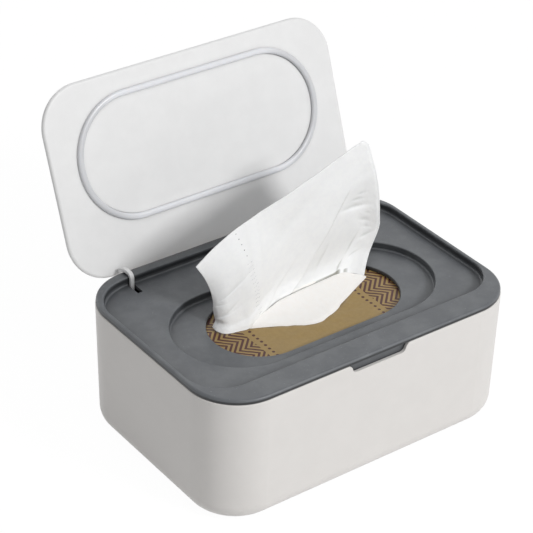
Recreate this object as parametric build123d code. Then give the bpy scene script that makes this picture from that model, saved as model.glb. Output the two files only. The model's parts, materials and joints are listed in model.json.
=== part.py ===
from build123d import *
from math import cos, radians, sin, sqrt
import os

# Wipes dispenser: a drafted tub, a lift-off cover with a recessed seat and a dispensing
# opening, and a flat lid on two gooseneck arms, shown open, around a pack of wipes.
# Millimetres. X runs along the long side, -Y is the front with the thumb notch, +Z is up.
# The origin is the centre of the tub's flat base.

# How far a cutting block runs past the face that it cuts
CUT_PAST = 1.0

# Edges are picked by height, within the first value, and by a rectangle grown by the second
PICK_HEIGHT = 0.01
PICK_MARGIN = 0.1

# Tub
TUB_LENGTH = 190.0
TUB_DEPTH = 131.7
TUB_HEIGHT = 73.2
TUB_CORNER = 27.9
TUB_WALL = 1.6
TUB_FLOOR = 2.4
TUB_DRAFT = 0.9
TUB_BASE_ROUND = 10.5
TUB_EDGE_ROUND = 0.6

# Thumb notch in the tub's front wall
NOTCH_TOP_HALF = 19.7
NOTCH_FLOOR_HALF = 14.0
NOTCH_DEPTH = 4.7

# Cover
COVER_GAP = 0.3
COVER_INSET = 0.33
RIM_TOP = 76.0
RIM_OUTER_ROUND = 1.4
RIM_INNER_ROUND = 0.8
SKIRT_WALL = 1.6
SKIRT_BOTTOM = 61.5
COVER_WALL = 2.0

# Lid seat: the shallow recess that the closed lid lies in
SEAT_HALF_LENGTH = 92.0
SEAT_FRONT = -50.8
SEAT_BACK = 59.4
SEAT_FRONT_CORNER = 21.0
SEAT_BACK_CORNER = 24.0
SEAT_FLOOR = 71.3
SEAT_WALL = 1.6
SEAT_FOOT_ROUND = 1.0

# Well and dispensing opening, both with round ends
WELL_CENTRE_Y = -4.5
WELL_HALF_LENGTH = 76.7
WELL_HALF_DEPTH = 35.3
WELL_FLOOR = 67.1
WELL_EDGE_ROUND = 0.7
WELL_FOOT_ROUND = 1.0
OPENING_HALF_LENGTH = 56.0
OPENING_HALF_DEPTH = 26.5
OPENING_EDGE_ROUND = 0.6

# Lid, described closed and then swung open about the hinge axis
LID_LENGTH = 182.0
LID_DEPTH = 103.8
LID_THICKNESS = 3.2
LID_CORNER = 23.0
LID_EDGE_ROUND = 1.5
LID_UNDERSIDE = 72.8
LID_REAR = 54.7
LID_OPEN_ANGLE = 110.3

# Sealing ring let into the lid's underside
SEAL_HALF_LENGTH = 75.9
SEAL_HALF_DEPTH = 34.4
SEAL_BAND = 3.4
SEAL_GROOVE = 0.8
SEAL_PROUD = 2.0
SEAL_ROUND = 0.7

# Hinge
HINGE_Y = 61.6
HINGE_Z = 67.4
HINGE_X = 65.0
ARM_WIDTH = 2.4
ARM_INNER_RADIUS = 9.3
ARM_OUTER_RADIUS = 11.4
ARM_LEG_INNER_Y = 59.0
ARM_LEG_OUTER_Y = 57.2
ARM_SHOULDER_ROUND = 3.5
ARM_SHOULDER_INNER_ROUND = 1.5
ARM_EDGE_ROUND = 0.4
EYE_RADIUS = 1.9
PIN_RADIUS = 0.9
PIN_RUNNING_GAP = 0.05
SLOT_SIDE_GAP = 0.35
SLOT_FRONT = 50.0
EAR_WALL = 2.0
EAR_BOTTOM = 64.9
EAR_FRONT_REACH = 2.6
EAR_BACK_INSET = 0.4
EYE_ROOM = 0.5

# Pack of wipes
PACK_LENGTH = 170.0
PACK_DEPTH = 98.0
PACK_CENTRE_Y = -3.5
PACK_BOTTOM = 2.6
PACK_TOP = 64.6
PACK_CORNER = 12.0
PACK_ROUND = 9.0
FILM = 0.5
FILM_GAP = 0.2
# The slit is pulled open to a lens: corners at its left end, front, right end and back
SLIT_CORNERS = ((-51.0, 5.5), (1.0, -19.0), (49.5, 3.0), (-1.0, 22.0))
SLIT_END_ROUND = 2.0
SLIT_SIDE_ROUND = 20.0
NEXT_WIPE_TOP = 66.4
NEXT_WIPE_ROUND = 1.4
NEXT_WIPE_GAP = 0.5

# Wipe standing out of the pack: a leaning sheet with soft upright folds
WIPE_THICKNESS = 1.2
WIPE_FOLDS = 4
# Each row: height, left end x, right end x, left end y, right end y, depth of one fold
WIPE_SECTIONS = (
    (67.2, -47.0, 44.5, 4.5, 8.5, 0.5),
    (78.0, -47.0, 55.5, 8.0, 10.2, 1.0),
    (91.0, -50.0, 60.0, 10.5, 11.0, 1.4),
    (104.0, -56.5, 60.5, 12.0, 12.2, 1.6),
    (118.0, -26.0, 59.0, 13.0, 13.0, 1.6),
    (130.0, 13.5, 56.0, 13.8, 13.9, 1.2),
    (141.2, 45.5, 50.5, 14.6, 14.7, 0.3),
)


def rounded_outline(half_length, half_depth, corner):
    """A rectangle with round corners, centred on the origin."""
    return RectangleRounded(2 * half_length, 2 * half_depth, corner)


def round_ended(half_length, half_depth, centre_y):
    """An outline with straight long sides and half-round ends."""
    return Pos(0, centre_y) * SlotOverall(2 * half_length, 2 * half_depth)


def slab(outline, bottom, top):
    """Extrude a flat outline from one height to another."""
    return extrude(Pos(0, 0, bottom) * outline, amount=top - bottom)


def edges_at(shape, height):
    """The edges that lie flat at one height."""
    return shape.edges().filter_by_position(Axis.Z, height - PICK_HEIGHT, height + PICK_HEIGHT)


def inner_edges(shape, height, half_length, front, back):
    """The edges at one height that lie inside a rectangle."""
    found = []
    for edge in edges_at(shape, height):
        box = edge.bounding_box()
        inside_x = max(abs(box.min.X), abs(box.max.X)) < half_length + PICK_MARGIN
        inside_y = box.min.Y > front - PICK_MARGIN and box.max.Y < back + PICK_MARGIN
        if inside_x and inside_y:
            found.append(edge)
    return found


def opened(shape):
    """Swing a closed lid piece to the open rest position."""
    hinge = Axis((0, HINGE_Y, HINGE_Z), (1, 0, 0))
    return shape.rotate(hinge, -LID_OPEN_ANGLE)


def tub_shell(inset, bottom, base_round):
    """A solid block with the tub's draft, inset from its outer face."""
    outline = rounded_outline(TUB_LENGTH / 2 - inset, TUB_DEPTH / 2 - inset, TUB_CORNER - inset)
    top_face = Pos(0, 0, TUB_HEIGHT) * outline
    block = extrude(top_face, amount=TUB_HEIGHT - bottom, dir=(0, 0, -1), taper=TUB_DRAFT)
    return fillet(edges_at(block, bottom), base_round)


def notch_cutter():
    """The thumb notch: a flat floor that rises through an S at each end."""
    floor = TUB_HEIGHT - NOTCH_DEPTH
    mid_x = (NOTCH_TOP_HALF + NOTCH_FLOOR_HALF) / 2
    mid_z = TUB_HEIGHT - NOTCH_DEPTH / 2
    above = TUB_HEIGHT + CUT_PAST
    with BuildSketch(Plane.XZ) as sketch:
        with BuildLine():
            Line((-NOTCH_FLOOR_HALF, floor), (NOTCH_FLOOR_HALF, floor))
            TangentArc((NOTCH_FLOOR_HALF, floor), (mid_x, mid_z), tangent=(1, 0))
            TangentArc((NOTCH_TOP_HALF, TUB_HEIGHT), (mid_x, mid_z), tangent=(-1, 0))
            Polyline(
                (NOTCH_TOP_HALF, TUB_HEIGHT), (NOTCH_TOP_HALF, above),
                (-NOTCH_TOP_HALF, above), (-NOTCH_TOP_HALF, TUB_HEIGHT),
            )
            TangentArc((-NOTCH_TOP_HALF, TUB_HEIGHT), (-mid_x, mid_z), tangent=(1, 0))
            TangentArc((-NOTCH_FLOOR_HALF, floor), (-mid_x, mid_z), tangent=(-1, 0))
        make_face()
    # The sketch faces -Y, so the block runs forwards from inside the wall
    behind_wall = -TUB_DEPTH / 2 + 2 * TUB_WALL
    return Pos(0, behind_wall, 0) * extrude(sketch.sketch, amount=2 * TUB_WALL + CUT_PAST)


def make_tub():
    """The drafted outer box with rounded base, thin walls and the thumb notch."""
    outside = tub_shell(0, 0, TUB_BASE_ROUND)
    inside = tub_shell(TUB_WALL, TUB_FLOOR, TUB_BASE_ROUND - TUB_WALL)
    tub = outside - inside
    tub = fillet(edges_at(tub, TUB_HEIGHT), TUB_EDGE_ROUND)
    return tub - notch_cutter()


def seat_outline(grow=0.0):
    """The lid seat's outline, with larger corners at the back, grown outwards by a wall."""
    back = SEAT_BACK + grow
    front = SEAT_FRONT - grow
    half = SEAT_HALF_LENGTH + grow
    block = Pos(0, (back + front) / 2) * Rectangle(2 * half, back - front)
    block = fillet(block.vertices().group_by(Axis.Y)[-1], SEAT_BACK_CORNER + grow)
    return fillet(block.vertices().group_by(Axis.Y)[0], SEAT_FRONT_CORNER + grow)


def skirt_outline(inset):
    """The skirt that drops inside the tub's wall."""
    away = TUB_WALL + COVER_GAP + inset
    return rounded_outline(TUB_LENGTH / 2 - away, TUB_DEPTH / 2 - away, TUB_CORNER - away)


def skirt_block(inset, bottom, top):
    """A block inside the tub's wall, drafted as the wall is."""
    top_face = Pos(0, 0, top) * skirt_outline(inset)
    return extrude(top_face, amount=top - bottom, dir=(0, 0, -1), taper=TUB_DRAFT)


def hinge_ears(side):
    """Two ears under the rim that carry one hinge pin."""
    ears = []
    for direction in (-1, 1):
        near = ARM_WIDTH / 2 + SLOT_SIDE_GAP
        centre = side * HINGE_X + direction * (near + EAR_WALL / 2)
        back = TUB_DEPTH / 2 - TUB_WALL - COVER_GAP - EAR_BACK_INSET
        front = HINGE_Y - EAR_FRONT_REACH
        ear = Pos(centre, (back + front) / 2, (EAR_BOTTOM + SEAT_FLOOR) / 2) * Box(
            EAR_WALL, back - front, SEAT_FLOOR - EAR_BOTTOM
        )
        ears.append(ear)
    return ears


def pin_bar(side, radius, length):
    """A round bar on the hinge axis, centred on one arm."""
    return Pos(side * HINGE_X, HINGE_Y, HINGE_Z) * Rot(0, 90, 0) * Cylinder(radius, length)


def hinge_slot(side):
    """The slot through the seat that one arm swings in, and the room round its eye."""
    width = ARM_WIDTH + 2 * SLOT_SIDE_GAP
    through = Pos(side * HINGE_X, (SLOT_FRONT + SEAT_BACK) / 2, SEAT_FLOOR) * Box(
        width, SEAT_BACK - SLOT_FRONT, 4 * COVER_WALL
    )
    back = TUB_DEPTH / 2
    top = HINGE_Z + EYE_RADIUS + EYE_ROOM
    bottom = SKIRT_BOTTOM - CUT_PAST
    room = Pos(side * HINGE_X, (SLOT_FRONT + back) / 2, (top + bottom) / 2) * Box(
        width, back - SLOT_FRONT, top - bottom
    )
    return through + room


def round_ended_pocket(half_length, half_depth, bottom, top, foot_round):
    """A pocket with round ends and a soft foot, to be cut away."""
    block = slab(round_ended(half_length, half_depth, WELL_CENTRE_Y), bottom, top)
    return fillet(edges_at(block, bottom), foot_round)


def cut_seat(cover):
    """Sink the lid seat, with a soft foot and a soft edge at the rim."""
    seat = slab(seat_outline(), SEAT_FLOOR, RIM_TOP + CUT_PAST)
    cover = cover - fillet(edges_at(seat, SEAT_FLOOR), SEAT_FOOT_ROUND)
    rim = inner_edges(cover, RIM_TOP, SEAT_HALF_LENGTH, SEAT_FRONT, SEAT_BACK)
    return fillet(rim, RIM_INNER_ROUND)


def cut_well(cover):
    """Sink the well in the seat's floor, and cut the opening in the well's floor."""
    cover = cover - round_ended_pocket(
        WELL_HALF_LENGTH, WELL_HALF_DEPTH, WELL_FLOOR, RIM_TOP, WELL_FOOT_ROUND
    )
    front = WELL_CENTRE_Y - WELL_HALF_DEPTH
    back = WELL_CENTRE_Y + WELL_HALF_DEPTH
    cover = fillet(inner_edges(cover, SEAT_FLOOR, WELL_HALF_LENGTH, front, back), WELL_EDGE_ROUND)
    opening = round_ended(OPENING_HALF_LENGTH, OPENING_HALF_DEPTH, WELL_CENTRE_Y)
    cover = cover - slab(opening, WELL_FLOOR - COVER_WALL - CUT_PAST, RIM_TOP)
    front = WELL_CENTRE_Y - OPENING_HALF_DEPTH
    back = WELL_CENTRE_Y + OPENING_HALF_DEPTH
    edge = inner_edges(cover, WELL_FLOOR, OPENING_HALF_LENGTH, front, back)
    return fillet(edge, OPENING_EDGE_ROUND)


def make_cover_frame():
    """The grey cover: rim, skirt, lid seat, well and opening in one moulding."""
    lip_bottom = TUB_HEIGHT + COVER_GAP
    lip_outline = rounded_outline(
        TUB_LENGTH / 2 - COVER_INSET, TUB_DEPTH / 2 - COVER_INSET, TUB_CORNER - COVER_INSET
    )
    lip = slab(lip_outline, lip_bottom, RIM_TOP)
    lip = fillet(edges_at(lip, RIM_TOP), RIM_OUTER_ROUND)
    skirt = skirt_block(0, SKIRT_BOTTOM, lip_bottom) - skirt_block(SKIRT_WALL, SKIRT_BOTTOM, lip_bottom)
    pan = slab(seat_outline(SEAT_WALL), SEAT_FLOOR - COVER_WALL, lip_bottom)
    pan = pan & skirt_block(0, SKIRT_BOTTOM, lip_bottom)
    bowl_outline = round_ended(
        WELL_HALF_LENGTH + COVER_WALL, WELL_HALF_DEPTH + COVER_WALL, WELL_CENTRE_Y
    )
    bowl = slab(bowl_outline, WELL_FLOOR - COVER_WALL, SEAT_FLOOR)
    cover = lip + skirt + pan + bowl
    for side in (-1, 1):
        for ear in hinge_ears(side):
            cover = cover + ear
    cover = cut_well(cut_seat(cover))
    for side in (-1, 1):
        cover = cover - hinge_slot(side)
        cover = cover - make_hinge_pin(side)
    return cover


def seal_band(bottom, top):
    """The closed band of the sealing ring between two heights."""
    outer = round_ended(SEAL_HALF_LENGTH, SEAL_HALF_DEPTH, WELL_CENTRE_Y)
    inner = round_ended(SEAL_HALF_LENGTH - SEAL_BAND, SEAL_HALF_DEPTH - SEAL_BAND, WELL_CENTRE_Y)
    return slab(outer, bottom, top) - slab(inner, bottom, top)


def make_lid_panel():
    """The flat lid with soft edges and the groove for its sealing ring."""
    outline = rounded_outline(LID_LENGTH / 2, LID_DEPTH / 2, LID_CORNER)
    outline = Pos(0, LID_REAR - LID_DEPTH / 2) * outline
    panel = slab(outline, LID_UNDERSIDE, LID_UNDERSIDE + LID_THICKNESS)
    rims = edges_at(panel, LID_UNDERSIDE) + edges_at(panel, LID_UNDERSIDE + LID_THICKNESS)
    panel = fillet(rims, LID_EDGE_ROUND)
    panel = panel - seal_band(LID_UNDERSIDE - CUT_PAST, LID_UNDERSIDE + SEAL_GROOVE)
    return opened(panel)


def make_lid_seal():
    """The soft ring that closes the well."""
    bottom = LID_UNDERSIDE - SEAL_PROUD
    ring = seal_band(bottom, LID_UNDERSIDE + SEAL_GROOVE)
    ring = fillet(edges_at(ring, bottom), SEAL_ROUND)
    return opened(ring)


def lid_rear_edge():
    """Where the open lid's rear underside edge is, and the way its underside runs, in Y and Z."""
    a = radians(LID_OPEN_ANGLE)
    rise = LID_UNDERSIDE - HINGE_Z
    along = HINGE_Y - LID_REAR
    edge = (HINGE_Y - along * cos(a) + rise * sin(a), HINGE_Z + along * sin(a) + rise * cos(a))
    return edge, (-cos(a), sin(a))


def arc_window():
    """The corners of a window that keeps the arm's arc from the leg to the lid's underside."""
    (edge_y, edge_z), (run_y, run_z) = lid_rear_edge()
    reach = 2 * ARM_OUTER_RADIUS
    return [
        (edge_y, edge_z),
        (edge_y + reach * run_y, edge_z + reach * run_z),
        (ARM_LEG_OUTER_Y, HINGE_Z + reach),
        (ARM_LEG_OUTER_Y, HINGE_Z),
        (HINGE_Y, HINGE_Z),
    ]


def arm_leg():
    """The corners of the arm's leg, from the arc down to the eye."""
    outer_top = HINGE_Z + sqrt(ARM_OUTER_RADIUS ** 2 - (HINGE_Y - ARM_LEG_OUTER_Y) ** 2)
    inner_top = HINGE_Z + sqrt(ARM_INNER_RADIUS ** 2 - (HINGE_Y - ARM_LEG_INNER_Y) ** 2)
    return [
        (ARM_LEG_OUTER_Y, outer_top),
        (ARM_LEG_OUTER_Y, HINGE_Z),
        (HINGE_Y, HINGE_Z - EYE_RADIUS),
        (HINGE_Y, HINGE_Z + EYE_RADIUS),
        (ARM_LEG_INNER_Y, HINGE_Z + EYE_RADIUS),
        (ARM_LEG_INNER_Y, inner_top),
    ]


def soft_edged_arm(arm):
    """Round the arm's shoulder, and its long edges from the eye up to the lid."""
    outer_corner, inner_corner = Vector(0, *arm_leg()[0]), Vector(0, *arm_leg()[-1])
    across = arm.edges().filter_by(Axis.X)
    arm = fillet(across.sort_by_distance(outer_corner)[0], ARM_SHOULDER_ROUND)
    across = arm.edges().filter_by(Axis.X)
    arm = fillet(across.sort_by_distance(inner_corner)[0], ARM_SHOULDER_INNER_ROUND)
    lid_y = lid_rear_edge()[0][0]
    rims = []
    for face in (arm.faces().sort_by(Axis.X)[0], arm.faces().sort_by(Axis.X)[-1]):
        for edge in face.outer_wire().edges():
            middle = edge.center()
            if middle.Z > HINGE_Z + EYE_RADIUS and middle.Y < lid_y:
                rims.append(edge)
    return fillet(rims, ARM_EDGE_ROUND)


def make_hinge_arm(side):
    """A gooseneck arm: an eye on the pin, a leg up through the slot and an arc over the rim."""
    with BuildSketch(Plane.YZ) as sketch:
        with Locations((HINGE_Y, HINGE_Z)):
            Circle(ARM_OUTER_RADIUS)
            Circle(ARM_INNER_RADIUS, mode=Mode.SUBTRACT)
        with BuildLine():
            Polyline(arc_window(), close=True)
        make_face(mode=Mode.INTERSECT)
        with BuildLine():
            Polyline(arm_leg(), close=True)
        make_face()
        with Locations((HINGE_Y, HINGE_Z)):
            Circle(EYE_RADIUS)
            Circle(PIN_RADIUS + PIN_RUNNING_GAP, mode=Mode.SUBTRACT)
    arm = extrude(sketch.sketch, amount=ARM_WIDTH / 2, both=True)
    arm = soft_edged_arm(arm)
    return Pos(side * HINGE_X, 0, 0) * arm


def make_hinge_pin(side):
    """The steel pin held in the cover's two ears."""
    return pin_bar(side, PIN_RADIUS, ARM_WIDTH + 2 * SLOT_SIDE_GAP + 2 * EAR_WALL)


def pack_block(inset, bottom, top):
    """A soft-edged block, inset from the pack's outer face."""
    outline = rounded_outline(PACK_LENGTH / 2 - inset, PACK_DEPTH / 2 - inset, PACK_CORNER - inset)
    block = slab(Pos(0, PACK_CENTRE_Y) * outline, bottom, top)
    return fillet(edges_at(block, bottom) + edges_at(block, top), PACK_ROUND - inset)


def slit(inset, bottom, top):
    """The lens-shaped hole in the pack's film, moved inwards by inset."""
    lens = make_face(Polyline(*SLIT_CORNERS, close=True).edges())
    lens = fillet(lens.vertices().group_by(Axis.X)[0], SLIT_END_ROUND)
    lens = fillet(lens.vertices().group_by(Axis.X)[-1], SLIT_END_ROUND)
    lens = fillet(lens.vertices().group_by(Axis.Y)[0], SLIT_SIDE_ROUND)
    lens = fillet(lens.vertices().group_by(Axis.Y)[-1], SLIT_SIDE_ROUND)
    if inset:
        lens = offset(lens, amount=-inset)
    return slab(lens, bottom, top)


def make_pack_film():
    """The film bag round the wipes, with its open slit."""
    bag = pack_block(0, PACK_BOTTOM, PACK_TOP) - pack_block(FILM, PACK_BOTTOM + FILM, PACK_TOP - FILM)
    return bag - slit(0, PACK_TOP - FILM - CUT_PAST, PACK_TOP + CUT_PAST)


def make_wipes_stack():
    """The folded wipes that fill the film."""
    inset = FILM + FILM_GAP
    return pack_block(inset, PACK_BOTTOM + inset, PACK_TOP - inset)


def make_next_wipe():
    """The next folded wipe, swelling up through the slit."""
    bottom = PACK_TOP - FILM - FILM_GAP
    pad = slit(NEXT_WIPE_GAP, bottom, NEXT_WIPE_TOP)
    return fillet(edges_at(pad, NEXT_WIPE_TOP), NEXT_WIPE_ROUND)


def wipe_section(height, left_x, right_x, left_y, right_y, fold):
    """One level cut through the wipe: alternate arcs, one for each fold."""
    points = []
    for i in range(WIPE_FOLDS + 1):
        t = i / WIPE_FOLDS
        points.append((left_x + t * (right_x - left_x), left_y + t * (right_y - left_y)))

    def side(offset):
        arcs = []
        for i in range(WIPE_FOLDS):
            (ax, ay), (bx, by) = points[i], points[i + 1]
            bow = fold if i % 2 else -fold
            middle = ((ax + bx) / 2, (ay + by) / 2 + bow + offset, height)
            arcs.append(ThreePointArc((ax, ay + offset, height), middle, (bx, by + offset, height)))
        return arcs

    half = WIPE_THICKNESS / 2
    front = side(-half)
    back = side(half)
    ends = [Line((x, y - half, height), (x, y + half, height)) for x, y in (points[0], points[-1])]
    return Face(Wire(front + back + ends))


def make_pulled_wipe():
    """The wipe that stands out of the opening, ready to take."""
    sections = [wipe_section(*row) for row in WIPE_SECTIONS]
    return loft(sections, ruled=True)


def main():
    """Write every piece of the dispenser."""
    os.makedirs("parts", exist_ok=True)
    pieces = {
        "tub": make_tub(),
        "cover_frame": make_cover_frame(),
        "lid_panel": make_lid_panel(),
        "lid_seal": make_lid_seal(),
        "hinge_arm_left": make_hinge_arm(-1),
        "hinge_arm_right": make_hinge_arm(1),
        "hinge_pin_left": make_hinge_pin(-1),
        "hinge_pin_right": make_hinge_pin(1),
        "pack_film": make_pack_film(),
        "wipes_stack": make_wipes_stack(),
        "next_wipe": make_next_wipe(),
        "pulled_wipe": make_pulled_wipe(),
    }
    for name, shape in pieces.items():
        export_step(shape, f"parts/{name}.step")
        print(name, round(shape.volume, 1))


main()
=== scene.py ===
# %% [markdown]
# # A wipes dispenser, open, with a wipe pulled up
# The box is a white tub, a blue-grey cover that drops into it, a flat white lid on two arms and
# a soft sealing ring, with a pack of wipes inside. The CAD model already holds the hard parts
# at their real size. This script gives them their finish, and makes the soft things anew: the
# ring, the film pack, the folded wipes, the next wipe and the wipe that stands in the opening.
# All lengths are metres. X runs along the box, -Y is the front, Z is up.

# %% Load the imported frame
import json
from math import cos, pi, radians, sin

import bpy
import numpy as np
from mathutils import Matrix, Vector, noise


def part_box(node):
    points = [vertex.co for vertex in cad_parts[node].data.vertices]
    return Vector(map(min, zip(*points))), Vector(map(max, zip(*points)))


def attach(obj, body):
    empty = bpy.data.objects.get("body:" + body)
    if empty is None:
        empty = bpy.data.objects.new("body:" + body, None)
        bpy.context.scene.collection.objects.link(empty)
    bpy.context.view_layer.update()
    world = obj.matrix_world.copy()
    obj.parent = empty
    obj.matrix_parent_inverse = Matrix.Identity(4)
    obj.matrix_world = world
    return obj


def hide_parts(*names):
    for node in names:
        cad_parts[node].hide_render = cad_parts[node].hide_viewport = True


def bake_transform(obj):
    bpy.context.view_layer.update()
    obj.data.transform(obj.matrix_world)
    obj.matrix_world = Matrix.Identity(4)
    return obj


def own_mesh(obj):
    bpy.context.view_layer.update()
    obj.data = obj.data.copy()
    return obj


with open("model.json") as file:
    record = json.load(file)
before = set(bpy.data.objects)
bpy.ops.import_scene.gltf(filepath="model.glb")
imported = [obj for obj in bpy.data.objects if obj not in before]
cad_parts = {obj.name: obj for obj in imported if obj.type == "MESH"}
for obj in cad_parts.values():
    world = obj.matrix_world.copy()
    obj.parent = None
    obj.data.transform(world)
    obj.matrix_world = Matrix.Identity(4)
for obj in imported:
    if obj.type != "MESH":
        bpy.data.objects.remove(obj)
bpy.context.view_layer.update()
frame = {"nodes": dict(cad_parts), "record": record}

scene = bpy.context.scene
MM = 0.001

# %% [markdown]
# ## The camera
# The photo was taken from the front left and above with a long lens. A few angles and
# distances, fitted to the outlines of the box, place the camera; the focal length is given
# in pixels of the square photo, so it turns into millimetres through the sensor's width. A
# camera can be set by eye in the viewport too, but numbers put every corner back in place.

# %% Camera
PHOTO_WIDTH = 533
SENSOR_WIDTH = 36.0
FOCAL_PIXELS = 2038.0
CAMERA_AZIMUTH = radians(-37.09)
CAMERA_ELEVATION = radians(32.30)
CAMERA_ROLL = radians(1.56)
CAMERA_DISTANCE = 1.066
CAMERA_TARGET = Vector((0, 0, 0.040))
CAMERA_STEP_RIGHT = -0.0163
CAMERA_STEP_UP = 0.0423
CAMERA_CLIP = (0.05, 20)


def place_camera():
    """A camera that looks at the target from its azimuth and elevation, then rolls and steps aside."""
    back = Vector((
        sin(CAMERA_AZIMUTH) * cos(CAMERA_ELEVATION),
        -cos(CAMERA_AZIMUTH) * cos(CAMERA_ELEVATION),
        sin(CAMERA_ELEVATION),
    ))
    level_right = Vector((cos(CAMERA_AZIMUTH), sin(CAMERA_AZIMUTH), 0))
    roll = Matrix.Rotation(CAMERA_ROLL, 3, back)
    right = roll @ level_right
    up = roll @ back.cross(level_right)
    place = CAMERA_TARGET + CAMERA_STEP_RIGHT * right + CAMERA_STEP_UP * up + CAMERA_DISTANCE * back
    data = bpy.data.cameras.new("photo_camera")
    data.sensor_width = SENSOR_WIDTH
    data.lens = FOCAL_PIXELS * SENSOR_WIDTH / PHOTO_WIDTH
    data.clip_start, data.clip_end = CAMERA_CLIP
    camera = bpy.data.objects.new("photo_camera", data)
    turn = Matrix((right, up, back)).transposed()
    camera.matrix_world = Matrix.Translation(place) @ turn.to_4x4()
    scene.collection.objects.link(camera)
    scene.camera = camera
    return camera


camera = place_camera()
print("camera at", [round(c, 3) for c in camera.matrix_world.translation])
print("lens", round(camera.data.lens, 1), "mm")

# %% [markdown]
# ## Node maths in plain Python
# A finish is mostly arithmetic on masks: a band here, a speckle there, a little less gloss
# where they meet. Wiring Math nodes by hand hides that arithmetic, so a small class wraps a
# socket and lets Python's own operators add the nodes. A second class holds a node tree and
# has the one method that adds any node. Materials, the world and the shapes that Geometry
# Nodes grow all build on it.

# %% Sockets that take operators
class Wire:
    """One output of a node. An operator on it adds a Math node and gives its output."""

    def __init__(self, owner, socket):
        self.owner = owner
        self.socket = socket

    def math(self, operation, *others):
        values = dict(enumerate((self, *others)))
        return self.owner.node("ShaderNodeMath", {"operation": operation}, values)

    def __add__(self, other):
        return self.math("ADD", other)

    def __sub__(self, other):
        return self.math("SUBTRACT", other)

    def __mul__(self, other):
        return self.math("MULTIPLY", other)

    def __rsub__(self, other):
        return self.owner.node("ShaderNodeMath", {"operation": "SUBTRACT"}, {0: other, 1: self})

    __radd__ = __add__
    __rmul__ = __mul__

    def band(self, low, high):
        """0 below low, 1 above high, and a smooth step between."""
        settings = {"interpolation_type": "SMOOTHSTEP"}
        values = {"Value": self, "From Min": low, "From Max": high}
        return self.owner.node("ShaderNodeMapRange", settings, values)


# %% A node tree under construction
class Nodes:
    """A node tree that nodes are added to one by one."""

    def __init__(self, tree):
        self.tree = tree

    def node(self, kind, settings=None, inputs=None, output=0):
        """Add a node: its settings first, then the values or wires of its sockets."""
        made = self.tree.nodes.new(kind)
        for key, value in (settings or {}).items():
            setattr(made, key, value)
        for key, value in (inputs or {}).items():
            self.feed(made.inputs[key], value)
        return Wire(self, made.outputs[output]) if made.outputs else None

    def feed(self, socket, value):
        """Link a wire to a socket, or set the socket's own value."""
        if isinstance(value, Wire):
            self.tree.links.new(value.socket, socket)
        elif socket.type == "RGBA" and len(value) == 3:
            socket.default_value = (*value, 1.0)
        else:
            socket.default_value = value


# %% Places, patterns and blends
class Patterns(Nodes):
    """A node tree with the nodes that say where a point is and lay patterns there."""

    def place(self):
        """Where a point is on the object, in metres, apart from the bodies' motion."""
        return self.node("ShaderNodeTexCoord", output="Object")

    def cut(self):
        """Where a point is on a sheet's flat cut, in metres."""
        return self.node("ShaderNodeUVMap", {"uv_map": "cut"})

    def axes(self, vector):
        """The three parts of a vector."""
        parts = self.node("ShaderNodeSeparateXYZ", None, {0: vector}).socket.node
        return [Wire(self, part) for part in parts.outputs]

    def speckle(self, vector, size, detail, rough=0.5):
        """Noise from 0 to 1 whose grains are about size across."""
        values = {"Vector": vector, "Scale": 1.0 / size, "Detail": detail, "Roughness": rough}
        return self.node("ShaderNodeTexNoise", None, values)

    def blend(self, factor, first, second):
        """Mix two colours."""
        inputs = {0: factor, 6: first, 7: second}
        return self.node("ShaderNodeMix", {"data_type": "RGBA"}, inputs, output=2)


# %% A material under construction
SHELTER_SAMPLES = 8
EDGE_SAMPLES = 4
# How far two normals differ, as 1 minus their dot product, where an edge starts and is full
EDGE_TURN = (0.01, 0.14)


class Finish(Patterns):
    """A material with a Principled shader whose sockets are set one by one."""

    def __init__(self, name, **constants):
        self.material = bpy.data.materials.new(name)
        self.material.use_nodes = True
        super().__init__(self.material.node_tree)
        self.shader = self.tree.nodes["Principled BSDF"]
        for socket, value in constants.items():
            self.shader.inputs[socket.replace("_", " ")].default_value = value

    def set(self, socket, value):
        """Feed one of the shader's sockets."""
        self.feed(self.shader.inputs[socket], value)

    def shelter(self, reach):
        """How closed in a point is by what stands within reach, from 0 to 1."""
        settings = {"samples": SHELTER_SAMPLES}
        return 1.0 - self.node("ShaderNodeAmbientOcclusion", settings, {"Distance": reach}, "AO")

    def edge(self, radius):
        """Where the surface turns sharply within a radius, from 0 to 1."""
        rounded = self.node("ShaderNodeBevel", {"samples": EDGE_SAMPLES}, {"Radius": radius})
        plain = self.node("ShaderNodeNewGeometry", output="Normal")
        both = {0: rounded, 1: plain}
        alike = self.node("ShaderNodeVectorMath", {"operation": "DOT_PRODUCT"}, both, "Value")
        return (1.0 - alike).band(*EDGE_TURN)

    def relief(self, height, depth, under=None):
        """Raise the surface by height, from 0 to 1, times depth in metres."""
        inputs = {"Height": height, "Distance": depth, "Strength": 1.0}
        if under is not None:
            inputs["Normal"] = under
        return self.node("ShaderNodeBump", None, inputs)


print("node helpers ready; an edge starts where normals turn by", EDGE_TURN[0])

# %% [markdown]
# ## Light, floor and background
# A catalogue photo. The wipe throws a soft-edged shadow on the lid, and from where it falls the
# main lamp stands in front, a little to the right, about 33 degrees up. How much darker the
# tub's shaded end is than its front gives the strength of the even light from all round. A
# small lamp close above the front left lifts what faces up, and two weak ones behind, one
# high and one low, give the cover's edges a sheen and keep the back of the lid from going
# flat. The white is painted for the rays that see it, by Light Path, so that it never
# over-lights the pale plastic. The floor is part white paint and part real surface, which
# keeps a faint shadow under the box.

# %% Colours as the photo shows them
WHITE = (1.0, 1.0, 1.0)


def linear(value):
    """One channel of a screen colour, from 0 to 255, as the linear value that a shader takes."""
    value = value / 255
    return value / 12.92 if value <= 0.04045 else ((value + 0.055) / 1.055) ** 2.4


def srgb(red, green, blue):
    """A screen colour as a shader's colour."""
    return (linear(red), linear(green), linear(blue))


def grey(level):
    """A screen grey as a shader's colour."""
    return srgb(level, level, level)


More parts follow.
